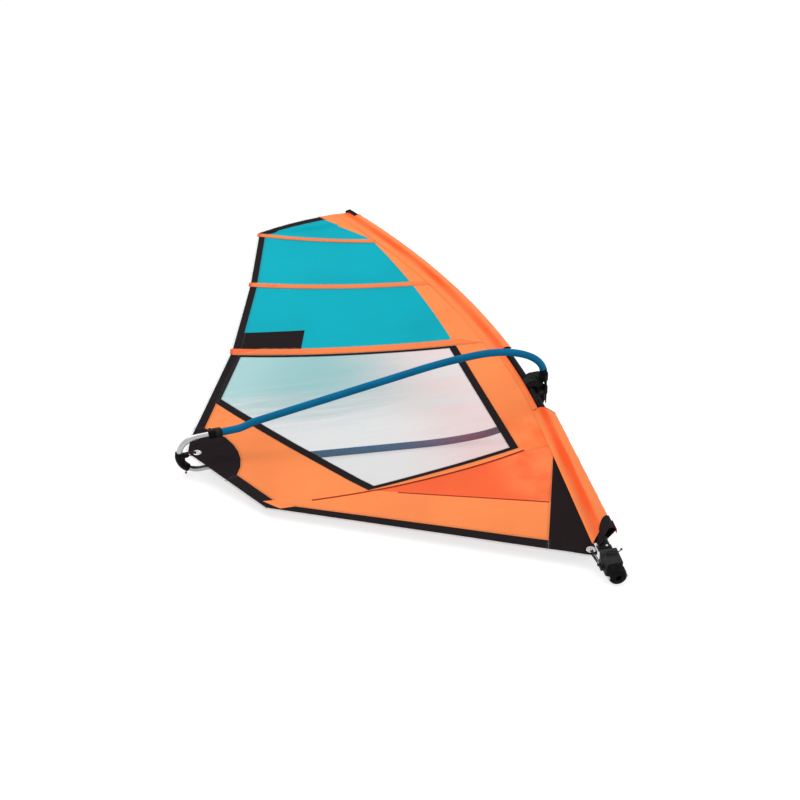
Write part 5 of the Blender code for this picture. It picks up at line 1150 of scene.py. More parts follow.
def sleeveHalf(high, kind, lean):
    # points from the seam over the mast to the front fold, ahead and out of the mast axis
    back = kind["back"]
    front = noseFront(high - lean * kind["noseLow"], kind) - sleeveLook["slack"]
    half = max(overMast(high) + sleeveLook["slack"], kind["half"])
    pinch = smoothStep(high, *sleeveLook["heldOpen"])      # the fairing holds the foot round
    power, flat = 2.0 - 0.70 * pinch, 0.5 + 0.42 * pinch
    points = [(-back - lap, sleeveLook["seamHalf"]) for lap in sleeveLook["seamLaps"]]
    for k in range(1, 9):
        t = k / 8
        points.append((-back * (1 - t) ** 2 - 2 * t * (1 - t) * back * 0.42,
                       0.0020 * (1 - t) ** 2 + half * 0.97 * 2 * t * (1 - t) + half * t * t))
    for k in range(1, sleeveLook["around"] + 1):
        share = math.sin(math.pi / 2 * k / sleeveLook["around"])
        points.append((front * share, half * max(0.0, 1.0 - share ** power) ** flat))
    return points


def wrinkle(high, x, z, tight):
    # short folds and long ones on the tight sleeve, slow waves and slanting ridges on the other
    if tight:
        folds = noise.noise(Vector((high * 30.0 + z * 30.0, x * 26.0, 4.0)))
        long = noise.noise(Vector((high * 6.0, (x + z) * 18.0, 5.0)))
        return sleeveLook["upperWrinkle"] * (max(0.0, folds + 0.10) + 0.7 * long)
    slow = noise.noise(Vector((high * 5.0, x * 16.0 + z * 10.0, 7.0)))
    slant = noise.noise(Vector(((high + x * 1.5) * 13.0, (z - x) * 12.0, 9.0)))
    ridge = max(0.0, 1.0 - abs(slant) * 6.0) ** 2
    return sleeveLook["lowerWrinkle"] * (slow * 0.6 + ridge * 0.55 - 0.10)


def sleeveCloth(node, kind):
    low, top, back = kind["low"], kind["top"], kind["back"]
    tight = node == "sleeve_upper"
    count = round((top - low) / sleeveLook["step"])
    highs = evenly(low, top, count)
    points, girths, shading = [], [], []
    for high in highs:
        lean = leanAt(high, low, top, kind["lowLean"], kind["topLean"])
        half = sleeveHalf(high, kind, lean)
        whole = half + [(x, -z) for x, z in half[-2::-1]]
        matrix = mastFrame(high)
        fade = smoothStep(high, *kind["fadeIn"]) * smoothStep(top - high, -0.01, 0.05)
        row, shares = [], []
        for x, z in whole:
            outward = Vector((x + back * 0.35, z)).normalized()
            edge = min(1.0, (x + back) / 0.02) if x > -back else 0.0
            puff = wrinkle(high, x, z, tight) * edge * fade
            # the cloth lies on the mast and hangs loose ahead of it
            if math.hypot(x, z) < mastRadius(high) + 0.003:
                puff = max(0.0, puff)
            row.append(matrix @ Vector((x + outward.x * puff, -lean * x, z + outward.y * puff)))
            # painted shade: a band across the sleeve where the cloth falls from the mast towards
            # the seam, broken up by noise
            shade = max(0.0, 1.0 - ((x - kind["shadeAt"]) / kind["shadeReach"]) ** 2)
            cloud = 0.80 + 0.50 * noise.noise(Vector((high * 5.0, x * 30.0, 11.0)))
            shares.append(max(0.0, min(1.0, shade * cloud * kind["shade"])))
        points.append(row)
        girths.append(travel(whole))
        shading.append(shares)
    ahead = mastFrame(highs[count // 2]).col[0].xyz
    mesh = gridMesh(points, lambda r, c: (highs[r], girths[r][c]), ahead, shading)
    flat, area = (girths[count // 2][-1], top - low), areaOf(mesh)
    piece = pieceFrom(thickened(mesh, sleeveLook["cloth"]), node + "_cloth", "sleeve",
                      nodes=[node], smooth=60.0)
    for label, row, radius in zip(("low", "top"), (points[0], points[-1]), kind["bindings"]):
        pieceFrom(swept(row[7:-7], radius, 8), "%s_%s_binding" % (node, label), "tape",
                  smooth=60.0)
    length = max(flat[1], area / flat[0])
    min(area, flat[0] * length)


for node, kind in sleeves.items():
    sleeveCloth(node, kind)

# the sleeve's two plies beside the mast, cut back behind it
ply = {"low": 0.8312, "top": 1.2925, "rear": 0.0385, "front": 0.0190, "out": 0.0166,
       "stand": 0.0016, "over": 0.0012, "fade": 0.030, "cloth": 0.0008, "columns": 6, "rows": 46,
       "bow": 0.0009, "ripple": 0.0007, "shade": 0.75, "shadeFrom": 0.3, "hem": 0.0010,
       "uvStep": (0.00986, 0.0035)}


def cutoutPly(node, side):
    low, top = ply["low"], ply["top"]
    shares = evenly(0.0, 1.0, ply["columns"])
    points = []
    for high in evenly(low, top, ply["rows"]):
        lean = leanAt(high, low, top, sleeves["sleeve_lower"]["topLean"],
                      sleeves["sleeve_upper"]["lowLean"])
        matrix = mastFrame(high)
        rear = toRig @ (matrix @ Vector((-ply["rear"], lean * ply["rear"], 0.0)))
        over = ply["over"] * (1.0 - smoothStep(min(high - low, top - high), 0.0, ply["fade"]))
        rise = sailHeight(-rear.x, rear.y) + side * (ply["stand"] + over)
        row = []
        for t in shares:
            x = -ply["rear"] + (ply["rear"] - ply["front"]) * t
            ripple = noise.noise(Vector((high * 22.0, side, t)))
            bow = ply["bow"] * math.sin(math.pi * t) + ply["ripple"] * t * ripple
            z = rise + (side * ply["out"] - rise) * t + side * bow
            row.append(matrix @ Vector((x, -lean * x, z)))
        points.append(row)
    # painted shade: each ply deepens towards its front edge by the mast
    shading = [[ply["shade"] * smoothStep(t, ply["shadeFrom"], 1.0) for t in shares]] * len(points)
    along, across = ply["uvStep"]
    mesh = gridMesh(points, lambda r, c: (r * along, c * across), shading=shading)
    area, width = areaOf(mesh), math.dist(points[9][0], points[9][-1])
    piece = pieceFrom(thickened(mesh, ply["cloth"]), node + "_cloth", "sleeve", nodes=[node],
                      smooth=60.0)
    length = max(top - low, area / width)
    min(area, width * length)
    pieceFrom(swept([row[-1] for row in points], ply["hem"], 8), node + "_hem", "tape",
              smooth=60.0)


cutoutPly("cutout_flap_upper", 1.0)
cutoutPly("cutout_flap_lower", -1.0)
print("mast and sleeve ready")


# the strap over the mast's tip, a webbing ribbon with its width along z
strap = {"width": 0.024, "thick": 0.0018, "reach": 0.055, "over": 0.0156, "from": 2.615,
         "stand": 0.0016}
halfOut = overMast(strap["from"]) + strap["thick"] / 2 + strap["stand"]
strapHalf = [(-strap["reach"], halfOut), (-0.030, halfOut), (-0.004, halfOut),
             (0.010, halfOut * 0.96), (strap["over"] + 0.002, halfOut * 0.60)]
strapWhole = strapHalf + [(along, -out) for along, out in strapHalf[::-1]]
strapMatrix = mastFrame(mast["tip"]) @ Matrix(((0, 0, 1, 0), (1, 0, 0, 0), (0, 1, 0, 0),
                                               (0, 0, 0, 1)))
strapPath = curved([Vector((x, y, 0.0)) for x, y in strapWhole], 6)
rings = []
for before, point, after in zip(strapPath[:1] + strapPath, strapPath,
                                strapPath[1:] + strapPath[-1:]):
    run = (after - before).normalized()
    rings.append([strapMatrix @ (point + Vector((-run.y * up, run.x * up, across)))
                  for across, up in ovalRing(strap["width"], strap["thick"], 12)])
pieceFrom(lofted(rings), "head_strap_webbing", "tape", nodes=["head_strap"],
          smooth=50.0)

# fairing round the sleeve's foot, with a red strap on its front
fairing = {"front": (0.080, 0.150), "side": (-0.004, 0.026), "thick": 0.0028, "nose": 0.75,
           "reach": 0.55, "half": 0.0250, "stand": 0.0021, "swell": 0.0005, "columns": 48,
           "rows": 14, "mid": 0.07, "noseLow": 0.117, "binding": 0.0020, "round": 0.0008,
           "uvStep": (0.011, 0.0028)}
strapRed = {"width": 0.020, "thick": 0.0018, "foot": 0.072, "top": 0.128, "stand": 0.0042,
            "wave": 0.0004}


def fairingNose(high):
    return noseFront(max(fairing["noseLow"], high), sleeves["sleeve_lower"])


def fairingSpot(turn, high, stand):
    # ahead and out of the mast axis: round the sleeve's nose, then on its flat
    half, back = fairing["half"], sleeves["sleeve_lower"]["back"]
    share = abs(turn) / fairing["nose"]
    if share <= 1.0:
        angle = math.radians(90.0 * share)
        x, z = (fairingNose(high) + stand) * math.cos(angle), (half + stand) * math.sin(angle)
    else:
        hip = Vector((-0.30 * back - 0.4 * stand, half * 0.93 + stand))
        seamEnd = Vector((-back - 0.7 * stand, 0.7 * stand))
        share = (abs(turn) - fairing["nose"]) / (1.0 - fairing["nose"])
        along = max(0.0, share - 0.5) * 2.0 * fairing["reach"]
        start = Vector((0.0, half + stand))
        x, z = start.lerp(hip, min(1.0, share * 2.0)) + (seamEnd - hip) * along
    return x, math.copysign(z, turn)


def fairingShell():
    turns = evenly(-1.0, 1.0, fairing["columns"])
    points = []
    for share in evenly(0.0, 1.0, fairing["rows"]):
        row = []
        for turn in turns:
            # deep at the front, short on the sail's two sides
            aside = min(1.0, abs(turn) / 0.85) ** 3.2
            low, top = (front + (side - front) * aside
                        for front, side in zip(fairing["front"], fairing["side"]))
            high = low + (top - low) * share
            swell = fairing["swell"] * math.sin(share * math.pi) * (1 - turn * turn)
            x, z = fairingSpot(turn, high, fairing["stand"] + swell)
            row.append(mastFrame(high) @ Vector((x, 0.0, z)))
        points.append(row)
    mid = fairing["mid"]
    along, across = fairing["uvStep"]
    mesh = gridMesh(points, lambda r, c: (r * along, c * across), mastFrame(mid).col[0].xyz)
    area = areaOf(mesh)
    girth = travel([fairingSpot(turn, mid, fairing["stand"]) for turn in turns])[-1]
    made = thickened(mesh, fairing["thick"], ("BEVEL", {"width": fairing["round"], "segments": 2}))
    piece = pieceFrom(made, "tack_fairing_shell", "tape", nodes=["tack_fairing"],
                      smooth=50.0)
    pieceFrom(swept(points[-1], fairing["binding"], 10), "tack_fairing_binding", "rubber")


fairingShell()
rings = []
for k, high in enumerate(evenly(strapRed["foot"], strapRed["top"], 20)):
    ahead = (fairingNose(high) + strapRed["stand"] + strapRed["thick"] / 2
             + strapRed["wave"] * math.sin(k * 1.3))
    rings.append([mastFrame(high) @ Vector((ahead + up, 0.0, across))
                  for across, up in ovalRing(strapRed["width"], strapRed["thick"], 14)])
pieceFrom(lofted(rings), "tack_strap_webbing", "redWebbing", nodes=["tack_strap"],
          smooth=50.0)

# eyelets
eyelet = {"hole": 0.0080, "barrel": 0.0100, "rim": 0.0175, "half": 0.0024, "web": 0.0011,
          "lip": 0.0004, "steps": 8}


def eyeFrame(eye):
    (aft, high), d = eye, 1e-3
    rise = (sailHeight(aft + d, high) - sailHeight(aft - d, high)) / (2 * d)
    climb = (sailHeight(aft, high + d) - sailHeight(aft, high - d)) / (2 * d)
    normal = (rig.to_3x3() @ Vector((rise, -climb, 1.0))).normalized()
    aside = mastUp.cross(normal).normalized()
    return placed(onRig(aft, high, sailHeight(aft, high)), aside, normal.cross(aside), normal)


def eyeletProfile():
    # a flat web in the cloth and a rolled rim on each side of it
    web, rim, hole, lip = (eyelet[key] for key in ("web", "rim", "hole", "lip"))
    upper = [(eyelet["barrel"], web), (rim, web), (rim, web + lip)]
    foot = web + 0.0003
    for a in evenly(0.0, math.pi, eyelet["steps"]):
        upper.append(((rim + hole) / 2 + (rim - hole) / 2 * math.cos(a) * 0.98,
                      foot + (eyelet["half"] - foot) * math.sin(a) ** 0.7))
    return upper + [(radius, -along) for radius, along in upper[::-1]]


for node, eye in (("eyelet_tack", sail["tackEye"]), ("eyelet_clew", sail["clewEye"])):
    pieceFrom(turned(eyeletProfile(), eyeFrame(eye)), node + "_ring", "steel", nodes=[node],
              smooth=50.0)
print("fittings of the sail ready")


# boom
def armHalf(back):
    # half the boom's width at this place: a round front, a curve, a straight and an eased end
    slope = boom["slope"]
    if back <= boom["widestAt"]:
        share = (boom["widestAt"] - back) / (boom["widestAt"] - boom["front"])
        start = boom["socketEnd"] + 0.002
        return start + (boom["widest"] - start) * math.sqrt(max(0.0, 1.0 - share * share))
    easedRun = boom["straightFrom"] - boom["widestAt"]
    if back <= boom["straightFrom"]:
        return boom["widest"] - slope * (back - boom["widestAt"]) ** 2 / (2.0 * easedRun)
    run = min(back, boom["straightTo"]) - boom["straightFrom"]
    straight = boom["widest"] - slope * easedRun / 2.0 - slope * run
    if back <= boom["straightTo"]:
        return straight
    length = boom["parallelFrom"] - boom["straightTo"]
    t = min(1.0, (back - boom["straightTo"]) / length)
    return (straight * (1 - t) ** 2 * (1 + 2 * t) - slope * length * t * (1 - t) ** 2
            + boom["tailHalf"] * t * t * (3 - 2 * t))


grip = {"sides": 32, "step": 0.007, "ease": 0.004, "round": 0.0014, "uneven": 0.00022,
        "bore": 0.0133, "ends": (0.0, 0.12, 0.35, 0.65), "gap": 0.0003,
        "bands": {"grip_upper": 0.030, "grip_lower": 0.065},
        "bandStep": 0.003, "bandOver": 0.0006, "bandRound": 0.0012}


def gripPath(side):
    # the middle of the foam from the boom head to the clip
    points = [(boom["front"], boom["socketEnd"] + grip["gap"])]
    span = boom["widestAt"] - boom["front"]
    for a in evenly(0.0, math.pi / 2, 48):
        back = boom["widestAt"] - span * math.cos(a)
        points.append((back, armHalf(back)))
    back = boom["widestAt"]
    while back < boom["clipStart"] - grip["step"] * 1.5:
        back += grip["step"]
        points.append((back, armHalf(back)))
    points.append((boom["clipStart"] - grip["gap"], boom["tailHalf"]))
    return [onBoom(back, 0.0, side * out) for back, out in points]


def evenPath(points, step):
    # points at even distances along the path
    lengths = travel(points)
    result, spot = [], 0
    for want in evenly(0.0, lengths[-1], round(lengths[-1] / step)):
        while spot < len(points) - 2 and lengths[spot + 1] < want:
            spot += 1
        share = (want - lengths[spot]) / (lengths[spot + 1] - lengths[spot])
        result.append(points[spot].lerp(points[spot + 1], share))
    return result


def gripTube(node, side):
    points = evenPath(gripPath(side), grip["step"])
    # short steps at each end round the foam's edge
    first = [points[0].lerp(points[1], t) for t in grip["ends"]]
    last = [points[-1].lerp(points[-2], t) for t in grip["ends"]][::-1]
    points = first + points[1:-1] + last
    travelled = travel(points)
    radii = []
    for point, done in zip(points, travelled):
        near = min(1.0, min(done, travelled[-1] - done) / grip["ease"])
        edge = math.sqrt(max(0.0, 1.0 - (1.0 - near) ** 2))
        uneven = noise.noise(point * 22.0) * grip["uneven"]
        radii.append(boom["gripRadius"] - grip["round"] * (1.0 - edge) + uneven * edge)
    pieceFrom(swept(points, radii, grip["sides"], grip["bore"]), node + "_foam", "foam",
              nodes=[node], smooth=50.0)


def gripBand(node, side):
    # the rubber band round the foam's front end
    step = grip["bandStep"]
    run = evenPath(gripPath(side), step)[:round(grip["bands"][node] / step)]
    ends = [max(0.0, 1.0 - min(k, len(run) - 1 - k) / 1.2) for k in range(len(run))]
    over = boom["gripRadius"] + grip["bandOver"]
    pieceFrom(swept(run, [over - grip["bandRound"] * end for end in ends], grip["sides"],
                    grip["bore"]),
              node + "_end_band", "rubber", smooth=50.0)


for node, side in (("grip_upper", 1.0), ("grip_lower", -1.0)):
    gripTube(node, side)
    gripBand(node, side)

tail = {"wall": 0.0014, "step": 0.018, "straight": 9, "bend": 32,
        "fitting": 0.0169, "fittingEnd": 0.0018, "fittingBore": 0.0117,
        "fittingFrom": -51, "fittingTo": 13}


def onBend(degrees):
    # on the round end of the boom, from its upper side at 90 to its lower side at -90
    a, half = math.radians(degrees), boom["tailHalf"]
    return onBoom(boom["centre"] + half * math.cos(a), 0.0, half * math.sin(a))


straights = [boom["tailStart"] + tail["step"] * k for k in range(tail["straight"])]
tailPath = ([onBoom(back, 0.0, boom["tailHalf"]) for back in straights]
            + [onBend(degrees) for degrees in evenly(90.0, -90.0, tail["bend"])]
            + [onBoom(back, 0.0, -boom["tailHalf"]) for back in straights[::-1]])
pieceFrom(swept(tailPath, boom["tailRadius"], 32, boom["tailRadius"] - tail["wall"]),
          "boom_tail_tube", "tube", "boom_tail", ["boom_tail"], smooth=50.0)

# the fitting that grips the bend
fittingPath = [onBend(degrees) for degrees in range(tail["fittingFrom"], tail["fittingTo"], 4)]
last = len(fittingPath) - 1
fittingRadii = [tail["fitting"] - tail["fittingEnd"] * (1 - min(1.0, min(k, last - k) / 1.5))
                for k in range(last + 1)]
pieceFrom(swept(fittingPath, fittingRadii, 36, tail["fittingBore"]), "tail_fitting_sleeve",
          "black", "boom_tail", smooth=40.0)
clip = {"bandAt": 1.380, "bore": 0.0150, "radius": 0.0184, "half": 0.010, "round": 0.0008}
clipBand = bandProfile(clip["bore"], clip["radius"], clip["half"], clip["round"])
for side, label in ((1.0, "upper"), (-1.0, "lower")):
    axis = placed(onBoom(clip["bandAt"], 0.0, side * boom["tailHalf"]),
                  boomAcross, sailOut, boomBack)
    pieceFrom(turned(clipBand, axis), "clip_band_" + label, "grey",
              smooth=40.0)


# metal tubes that keep the solids' own shape
for node, name, colour in (("boom_arm_upper", "boom_arm_upper_metal", (0.64, 0.64, 0.65)),
                           ("boom_arm_lower", "boom_arm_lower_metal", (0.64, 0.64, 0.65)),
                           ("extension_tube", "extensionMetal", (0.62, 0.62, 0.63))):
    data = frame["nodes"][node].data
    data.materials.clear()
    data.materials.append(drawnMetal(name, colour, source="Object"))
print("boom ready")

# ribs on the cup and the collar: low and top up the mast axis, ring, count, rib, body
ribRings = {
    "cup_ribs": (-0.1520, -0.1300, 0.0330, 40, 0.0009, "extension"),
    "collar_ribs": (-0.0330, -0.0290, 0.0250, 36, 0.0007, rigBody),
}
ribs = ribTree()
for name, (low, top, ring, count, radius, body) in ribRings.items():
    values = {"Count": count, "Ring": ring, "Length": top - low, "Radius": radius,
              "Finish": finishes["black"]}
    made = throughTree(bpy.data.meshes.new(name), ribs, values)
    made.transform(placed(onRig(-mast["ahead"], (low + top) / 2), -sailAft, -sailOut, mastUp))
    pieceFrom(made, name, "black", body, smooth=30.0)
print("extension ready")

batten = {"lift": 0.0027, "thick": 0.0018, "grid": 0.008, "capLength": 0.0112, "capHalf": 0.0024,
          "capLift": 0.0036, "capOver": 0.0002, "capOut": 0.0002, "capRings": 6,
          "cover": 0.125, "coverLift": 0.0034, "coverFoot": 0.0011, "coverThick": 0.0007,
          "coverWide": 0.0070, "coverIn": 0.0085, "coverRows": 24, "coverColumns": 12,
          "underCover": 0.020, "endZone": 0.03, "noseZone": 0.004, "keepIn": 0.003,
          "sink": (0.0005, 0.0080)}


def middleOf(spots):
    return sum(spots, Vector((0.0, 0.0))) / len(spots)


def battenEnd(mesh):
    # the middle of the end that shows, the directions along and across there, and half the width
    spots = [vert.co.xy.copy() for vert in mesh.verts]
    tipAft, rootAft = max(-spot.x for spot in spots), min(-spot.x for spot in spots)
    tip, root = ([spot for spot in spots if abs(-spot.x - aft) < batten["endZone"]]
                 for aft in (tipAft, rootAft))
    along = (middleOf(tip) - middleOf(root)).normalized()
    reach = max(spot.dot(along) for spot in spots)
    outer = [spot for spot in tip if reach - spot.dot(along) < batten["noseZone"]]
    inner = [spot for spot in tip if spot not in outer]
    if inner:
        along = (middleOf(outer) - middleOf(inner)).normalized()
    across = Vector((-along.y, along.x))
    end = middleOf(outer)
    return end, along, across, max(abs((spot - end).dot(across)) for spot in outer)


def battenCap(part, end, along, across, half):
    rings = []
    start = batten["capOut"]
    for k, run in enumerate(evenly(start, start - batten["capLength"], batten["capRings"])):
        shrink = (0.72, 0.93)[k] if k < 2 else 1.0   # the cap's rounded nose
        ring = []
        for aside, up in ovalRing(2.0 * (half + batten["capOver"]) * shrink,
                                  2.0 * batten["capHalf"] * shrink, 16, (0.45, 0.6)):
            spot = end + along * run + across * aside
            lift = clothHeight(-spot.x, spot.y) + batten["capLift"]
            ring.append(rig @ Vector((spot.x, spot.y, lift + up)))
        rings.append(ring)
    pieceFrom(lofted(rings), "batten_" + part + "_cap", "endCap", smooth=50.0)


def battenCover(part, end, along, across, wide):
    # the end of the pocket, doubled where it takes the cap
    start = batten["capOut"] - batten["coverIn"]
    points = []
    for run in evenly(start, start - batten["cover"], batten["coverRows"]):
        row = []
        for v in evenly(-1.0, 1.0, batten["coverColumns"]):
            spot = end + along * run + across * (wide * v)
            rise = batten["coverFoot"] + batten["coverLift"] * math.sqrt(1.0 - abs(v) ** 3.0)
            row.append(Vector((spot.x, spot.y, clothHeight(-spot.x, spot.y) + rise)))
        points.append(row)
    mesh = gridMesh(points, lambda r, c: (-points[r][c].x, points[r][c].y), Vector((0, 0, 1)))
    mesh.transform(rig)
    piece = pieceFrom(thickened(mesh, batten["coverThick"]), "batten_pocket_" + part + "_end",
                      "pocketEnd")
    2.0 * wide + 0.003


def battenRod(part, mesh, end, along, across, wide):
    # the rod keeps inside its pocket and sinks towards the pocket's edges
    edge = outlineLoops(flatTop("batten_pocket_" + part, pocket["above"]))
    coverRoot = batten["underCover"] - batten["cover"]
    gridded(mesh, batten["grid"])
    drop = []
    for face in mesh.faces:
        middle = face.calc_center_median()
        spot = (-middle.x, middle.y)
        inside = insideLoop(spot, edge[0]) and edgeDistance(spot, edge) >= batten["keepIn"]
        if (middle.xy - end).dot(along) < coverRoot and not inside:
            drop.append(face)
    bmesh.ops.delete(mesh, geom=drop, context="FACES")

    def standOff(aft, high):
        spot = Vector((-aft, high)) - end
        off = abs(spot.dot(across)) if spot.dot(along) > -0.2 else 0.0
        room = wide - off
        if spot.dot(along) <= coverRoot:
            room = min(edgeDistance((aft, high), edge) + pocketLap[part], room)
        return batten["lift"] * smoothStep(room, *batten["sink"])

    pieceFrom(laidOnSail(mesh, standOff, batten["thick"]), "batten_" + part + "_rod", "battenFibre",
              nodes=["batten_" + part])


for part, lap in pocketLap.items():
    mesh = flatTop("batten_" + part)
    end, along, across, half = battenEnd(mesh)
    wide = half + batten["coverWide"] + lap
    battenCap(part, end, along, across, half)
    battenCover(part, end, along, across, wide)
    battenRod(part, mesh, end, along, across, wide)
print("battens ready")


# the two lines; tab is the becket's place beside the outer sheave
rope = {"radius": 0.0018, "sides": 12, "groove": 0.0075, "sheave": 0.0105, "pitch": 0.0061,
        "tab": 0.0097, "tabAcross": 0.0074, "knot": 0.0042, "becketKnot": 0.0032,
        "clear": 0.00055, "overRim": 0.0017}
downhaul = {"run": 0.092, "first": 0.0142, "cleatUp": 0.026, "cleatOut": 0.0333,
            "rig": -0.022, "extension": -0.060}
outhaul = {"run": 0.043, "cleatIn": 0.0185, "cleatAcross": -0.0173, "rig": 0.012, "tail": 0.032}


def purchase(becket, passes, sheaves, run, side):
    # from a becket through the eyelet and round a sheave, once for each pass
    wrap = rope["groove"] + rope["radius"] + rope["clear"]
    lift = eyelet["half"] + rope["radius"] + rope["overRim"]
    edge = eyelet["hole"]
    points = [(becket, run + 0.0026, side * rope["tabAcross"]),
              (becket, run - 0.008, side * rope["tabAcross"])]
    lead = run - rope["sheave"] * 0.6
    loop = [(edge + 0.010, lift), (edge + 0.001, lift), (edge - 0.0020, lift * 0.84),
            (edge - 0.0031, lift * 0.42)]
    for number, (through, wheel) in enumerate(zip(passes, sheaves)):
        if number:
            points.append((sheaves[number - 1], lead, side * wrap))
        points += [(through, reach, side * out) for reach, out in loop]
        points += [(through, reach, -side * out) for reach, out in loop[::-1]]
        points.append((wheel, lead, -side * wrap))
        for a in evenly(-math.pi / 2, math.pi / 2, 6):
            points.append((wheel, run + wrap * math.cos(a), side * wrap * math.sin(a)))
    return points


def downhaulRoute():
    eyeAft, eyeHigh = sail["tackEye"]
    pinHigh, apart = eyeHigh - downhaul["run"], rope["pitch"] / 2
    first, second = downhaul["first"], downhaul["first"] + rope["pitch"]
    points = [onRig(aft, eyeHigh - run, out + sailHeight(eyeAft, eyeHigh))
              for aft, run, out in purchase(second + rope["tab"], (eyeAft + apart, eyeAft - apart),
                                            (second, first), downhaul["run"], 1.0)]
    high, out = pinHigh + downhaul["cleatUp"], downhaul["cleatOut"] + rope["radius"]
    rest = [(first + 0.0006, pinHigh + 0.008, 0.0102), (first + 0.0008, pinHigh + 0.0165, 0.018),
            (first - 0.0002, pinHigh + 0.0225, 0.0285),
            (first - 0.0065, pinHigh + 0.0255, out - 0.0002),
            (-0.006, high, out), (-0.030, high, out), (-0.050, high, out),
            (-0.060, high + 0.006, out - 0.001), (-0.066, high + 0.016, out - 0.006)]
    return points + [onRig(*spot) for spot in rest]


eyeHeight = sailHeight(*sail["clewEye"])
clewOnBoom = boomFrame.inverted() @ onRig(*sail["clewEye"], eyeHeight)


def outhaulRoute():
    reach, apart, second = outhaul["run"], rope["pitch"] / 2, -rope["pitch"]
    points = []
    for shift, run, out in purchase(rope["tab"], (apart, -apart), (0.0, second), reach, -1.0)[:-3]:
        lift = eyeHeight * max(0.0, 1.0 - run / (reach - rope["sheave"]))
        points.append(onBoom(clewOnBoom.x + run, clewOnBoom.y + shift, out + lift))
    back = boom["centre"] + boom["tailHalf"] - outhaul["cleatIn"]
    across = outhaul["cleatAcross"] - rope["radius"]
    leave = clewOnBoom.y + second
    last = clewOnBoom.x + reach + rope["groove"] + rope["radius"] + 0.0002
    rest = [(last, leave, -0.0098), (last - 0.0006, leave - 0.0030, -0.0160),
            (back - 0.0006, -0.0125, -0.0235), (back, across + 0.0002, -0.0305),
            (back, across, -0.036), (back, across, -0.056),
            (back + 0.001, across, -0.063), (back + 0.003, across - 0.001, -0.070)]
    return points + [onBoom(*spot) for spot in rest]


def knotShape(middle, heading, size):
    # a stopper knot: one turn laid round the line's end
    pair = heading.orthogonal().normalized()
    pair = (pair, heading.cross(pair))
    turns = []
    for share in evenly(0.0, 1.0, 32):
        a = math.tau * 1.9 * share
        along = heading * (size * (1.5 * share - 0.75))
        turns.append(middle + along + (pair[0] * math.cos(a) + pair[1] * math.sin(a)) * size * 0.62)
    return swept(turns, rope["radius"] * 0.92, 10)


def ropePiece(name, node, route, finish, bodies, start, end):
    points = curved(route, 5)
    mesh = swept(points, rope["radius"], rope["sides"])
    piece = pieceFrom(mesh, name, finish, None, [node], smooth=50.0)
    for label, size, spot, other in (("end", rope["knot"], route[-1], route[-2]),
                                     ("becket", rope["becketKnot"], route[0], route[1])):
        heading = (spot - other).normalized()
        pieceFrom(knotShape(spot - heading * 0.001, heading, size),
                               "%s_%s_knot" % (name, label), finish, bodies[0],
                               smooth=50.0)
    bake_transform(piece)


ropePiece("downhaul_rope", "downhaul_line", downhaulRoute(), "line", ("extension", rigBody),
          tuple(onRig(sail["tackEye"][0], downhaul["extension"])),
          tuple(onRig(sail["tackEye"][0], downhaul["rig"])))
ropePiece("outhaul_rope", "outhaul_line", outhaulRoute(), "redLine", ("boom_tail", rigBody),
          tuple(onBoom(clewOnBoom.x + outhaul["tail"], clewOnBoom.y)),
          tuple(onBoom(clewOnBoom.x + outhaul["rig"], clewOnBoom.y)))
print("lines ready")

# studio: floor, light and the camera at the picture's angle
studio = {"sky": 0.74, "floorGlow": 0.72, "floorCloth": 0.42, "floorSize": 12.0, "lens": 66.11,
          "eye": (-1.3531, -3.7571, 3.5950),
          "right": (0.98179239, -0.18810962, -0.02642872),
          "down": (-0.13269389, -0.57960094, -0.80402431),
          "forward": (0.13592659, 0.79289188, -0.59400878),
          "lookAt": (-0.6, 1.2, 0.0),
          "lamps": {"key": ((-1.8, 1.4, 3.2), 54.0, 2.2), "fill": ((2.4, -1.6, 3.0), 26.0, 3.0)}}


def brightWhereSeen(tree, plain, seen, output):
    # camera rays, mirrored ones and those that pass through meet the second shader
    rays = {kind: addNode(tree, "ShaderNodeLightPath", output="Is %s Ray" % kind)
            for kind in ("Camera", "Glossy", "Transmission")}
    through = mathNode("MAXIMUM", rays["Glossy"], rays["Transmission"])
    choice = addNode(tree, "ShaderNodeMixShader",
                     {0: mathNode("MAXIMUM", rays["Camera"], through), 1: plain, 2: seen})
    feed(tree.nodes[output].inputs["Surface"], choice)


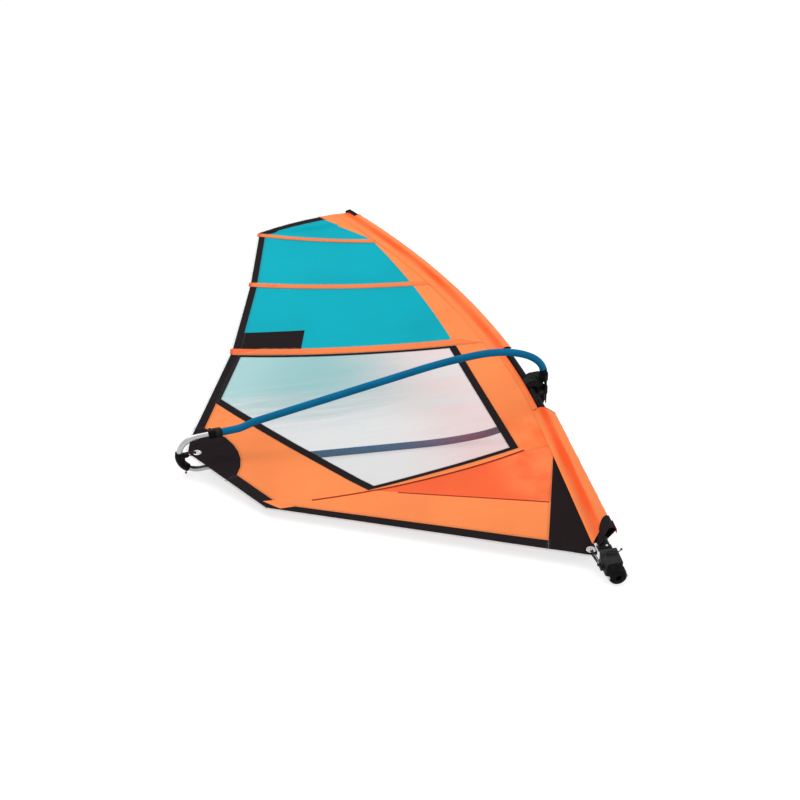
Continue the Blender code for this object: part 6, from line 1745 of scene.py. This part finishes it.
floorMesh = bmesh.new()
bmesh.ops.create_grid(floorMesh, x_segments=2, y_segments=2, size=studio["floorSize"])
floorData = bpy.data.meshes.new("studio_floor")
floorMesh.to_mesh(floorData)
floorMesh.free()
floorData.transform(Matrix.Translation((0.0, 0.0, min(solidBox[0][2], solidBox[1][2]) - 0.0002)))
floor = bpy.data.objects.new("studio_floor", floorData)
bpy.context.scene.collection.objects.link(floor)
floorLook = bpy.data.materials.new("studioFloor")
floorLook.use_nodes = True
tree = floorLook.node_tree
tree.nodes.remove(tree.nodes["Principled BSDF"])
paper, plainPaper = (addNode(tree, "ShaderNodeBsdfDiffuse", {"Color": (white,) * 3})
                     for white in (studio["floorCloth"], 0.80))
glow = addNode(tree, "ShaderNodeEmission", {"Strength": studio["floorGlow"]})
brightWhereSeen(tree, plainPaper, addNode(tree, "ShaderNodeAddShader", {0: paper, 1: glow}),
                "Material Output")
floorData.materials.append(floorLook)

world = bpy.data.worlds.new("studioWorld")
world.use_nodes = True
bpy.context.scene.world = world
tree = world.node_tree
tree.nodes.remove(tree.nodes["Background"])
sky, bright = (addNode(tree, "ShaderNodeBackground",
                       {"Color": (1.0, 1.0, 1.0), "Strength": strength})
               for strength in (studio["sky"], 1.0))
brightWhereSeen(tree, sky, bright, "World Output")

middle = rig @ Vector(studio["lookAt"])
for name, (offset, power, size) in studio["lamps"].items():
    lamp = bpy.data.lights.new(name, "AREA")
    lamp.energy = power
    lamp.size = size
    lampObject = bpy.data.objects.new(name, lamp)
    lampObject.location = middle + Vector(offset)
    aim = middle - lampObject.location
    lampObject.rotation_euler = aim.to_track_quat("-Z", "Y").to_euler()
    bpy.context.scene.collection.objects.link(lampObject)

camera = bpy.data.cameras.new("camera")
camera.lens = studio["lens"]
camera.sensor_width = 36.0
cameraObject = bpy.data.objects.new("camera", camera)
right, down, forward = (rig.to_3x3() @ Vector(studio[key]) for key in ("right", "down", "forward"))
cameraObject.matrix_world = placed(rig @ Vector(studio["eye"]), right, -down, -forward)
bpy.context.scene.collection.objects.link(cameraObject)
bpy.context.scene.camera = cameraObject
bpy.context.scene.view_settings.view_transform = "Standard"
print("studio ready")
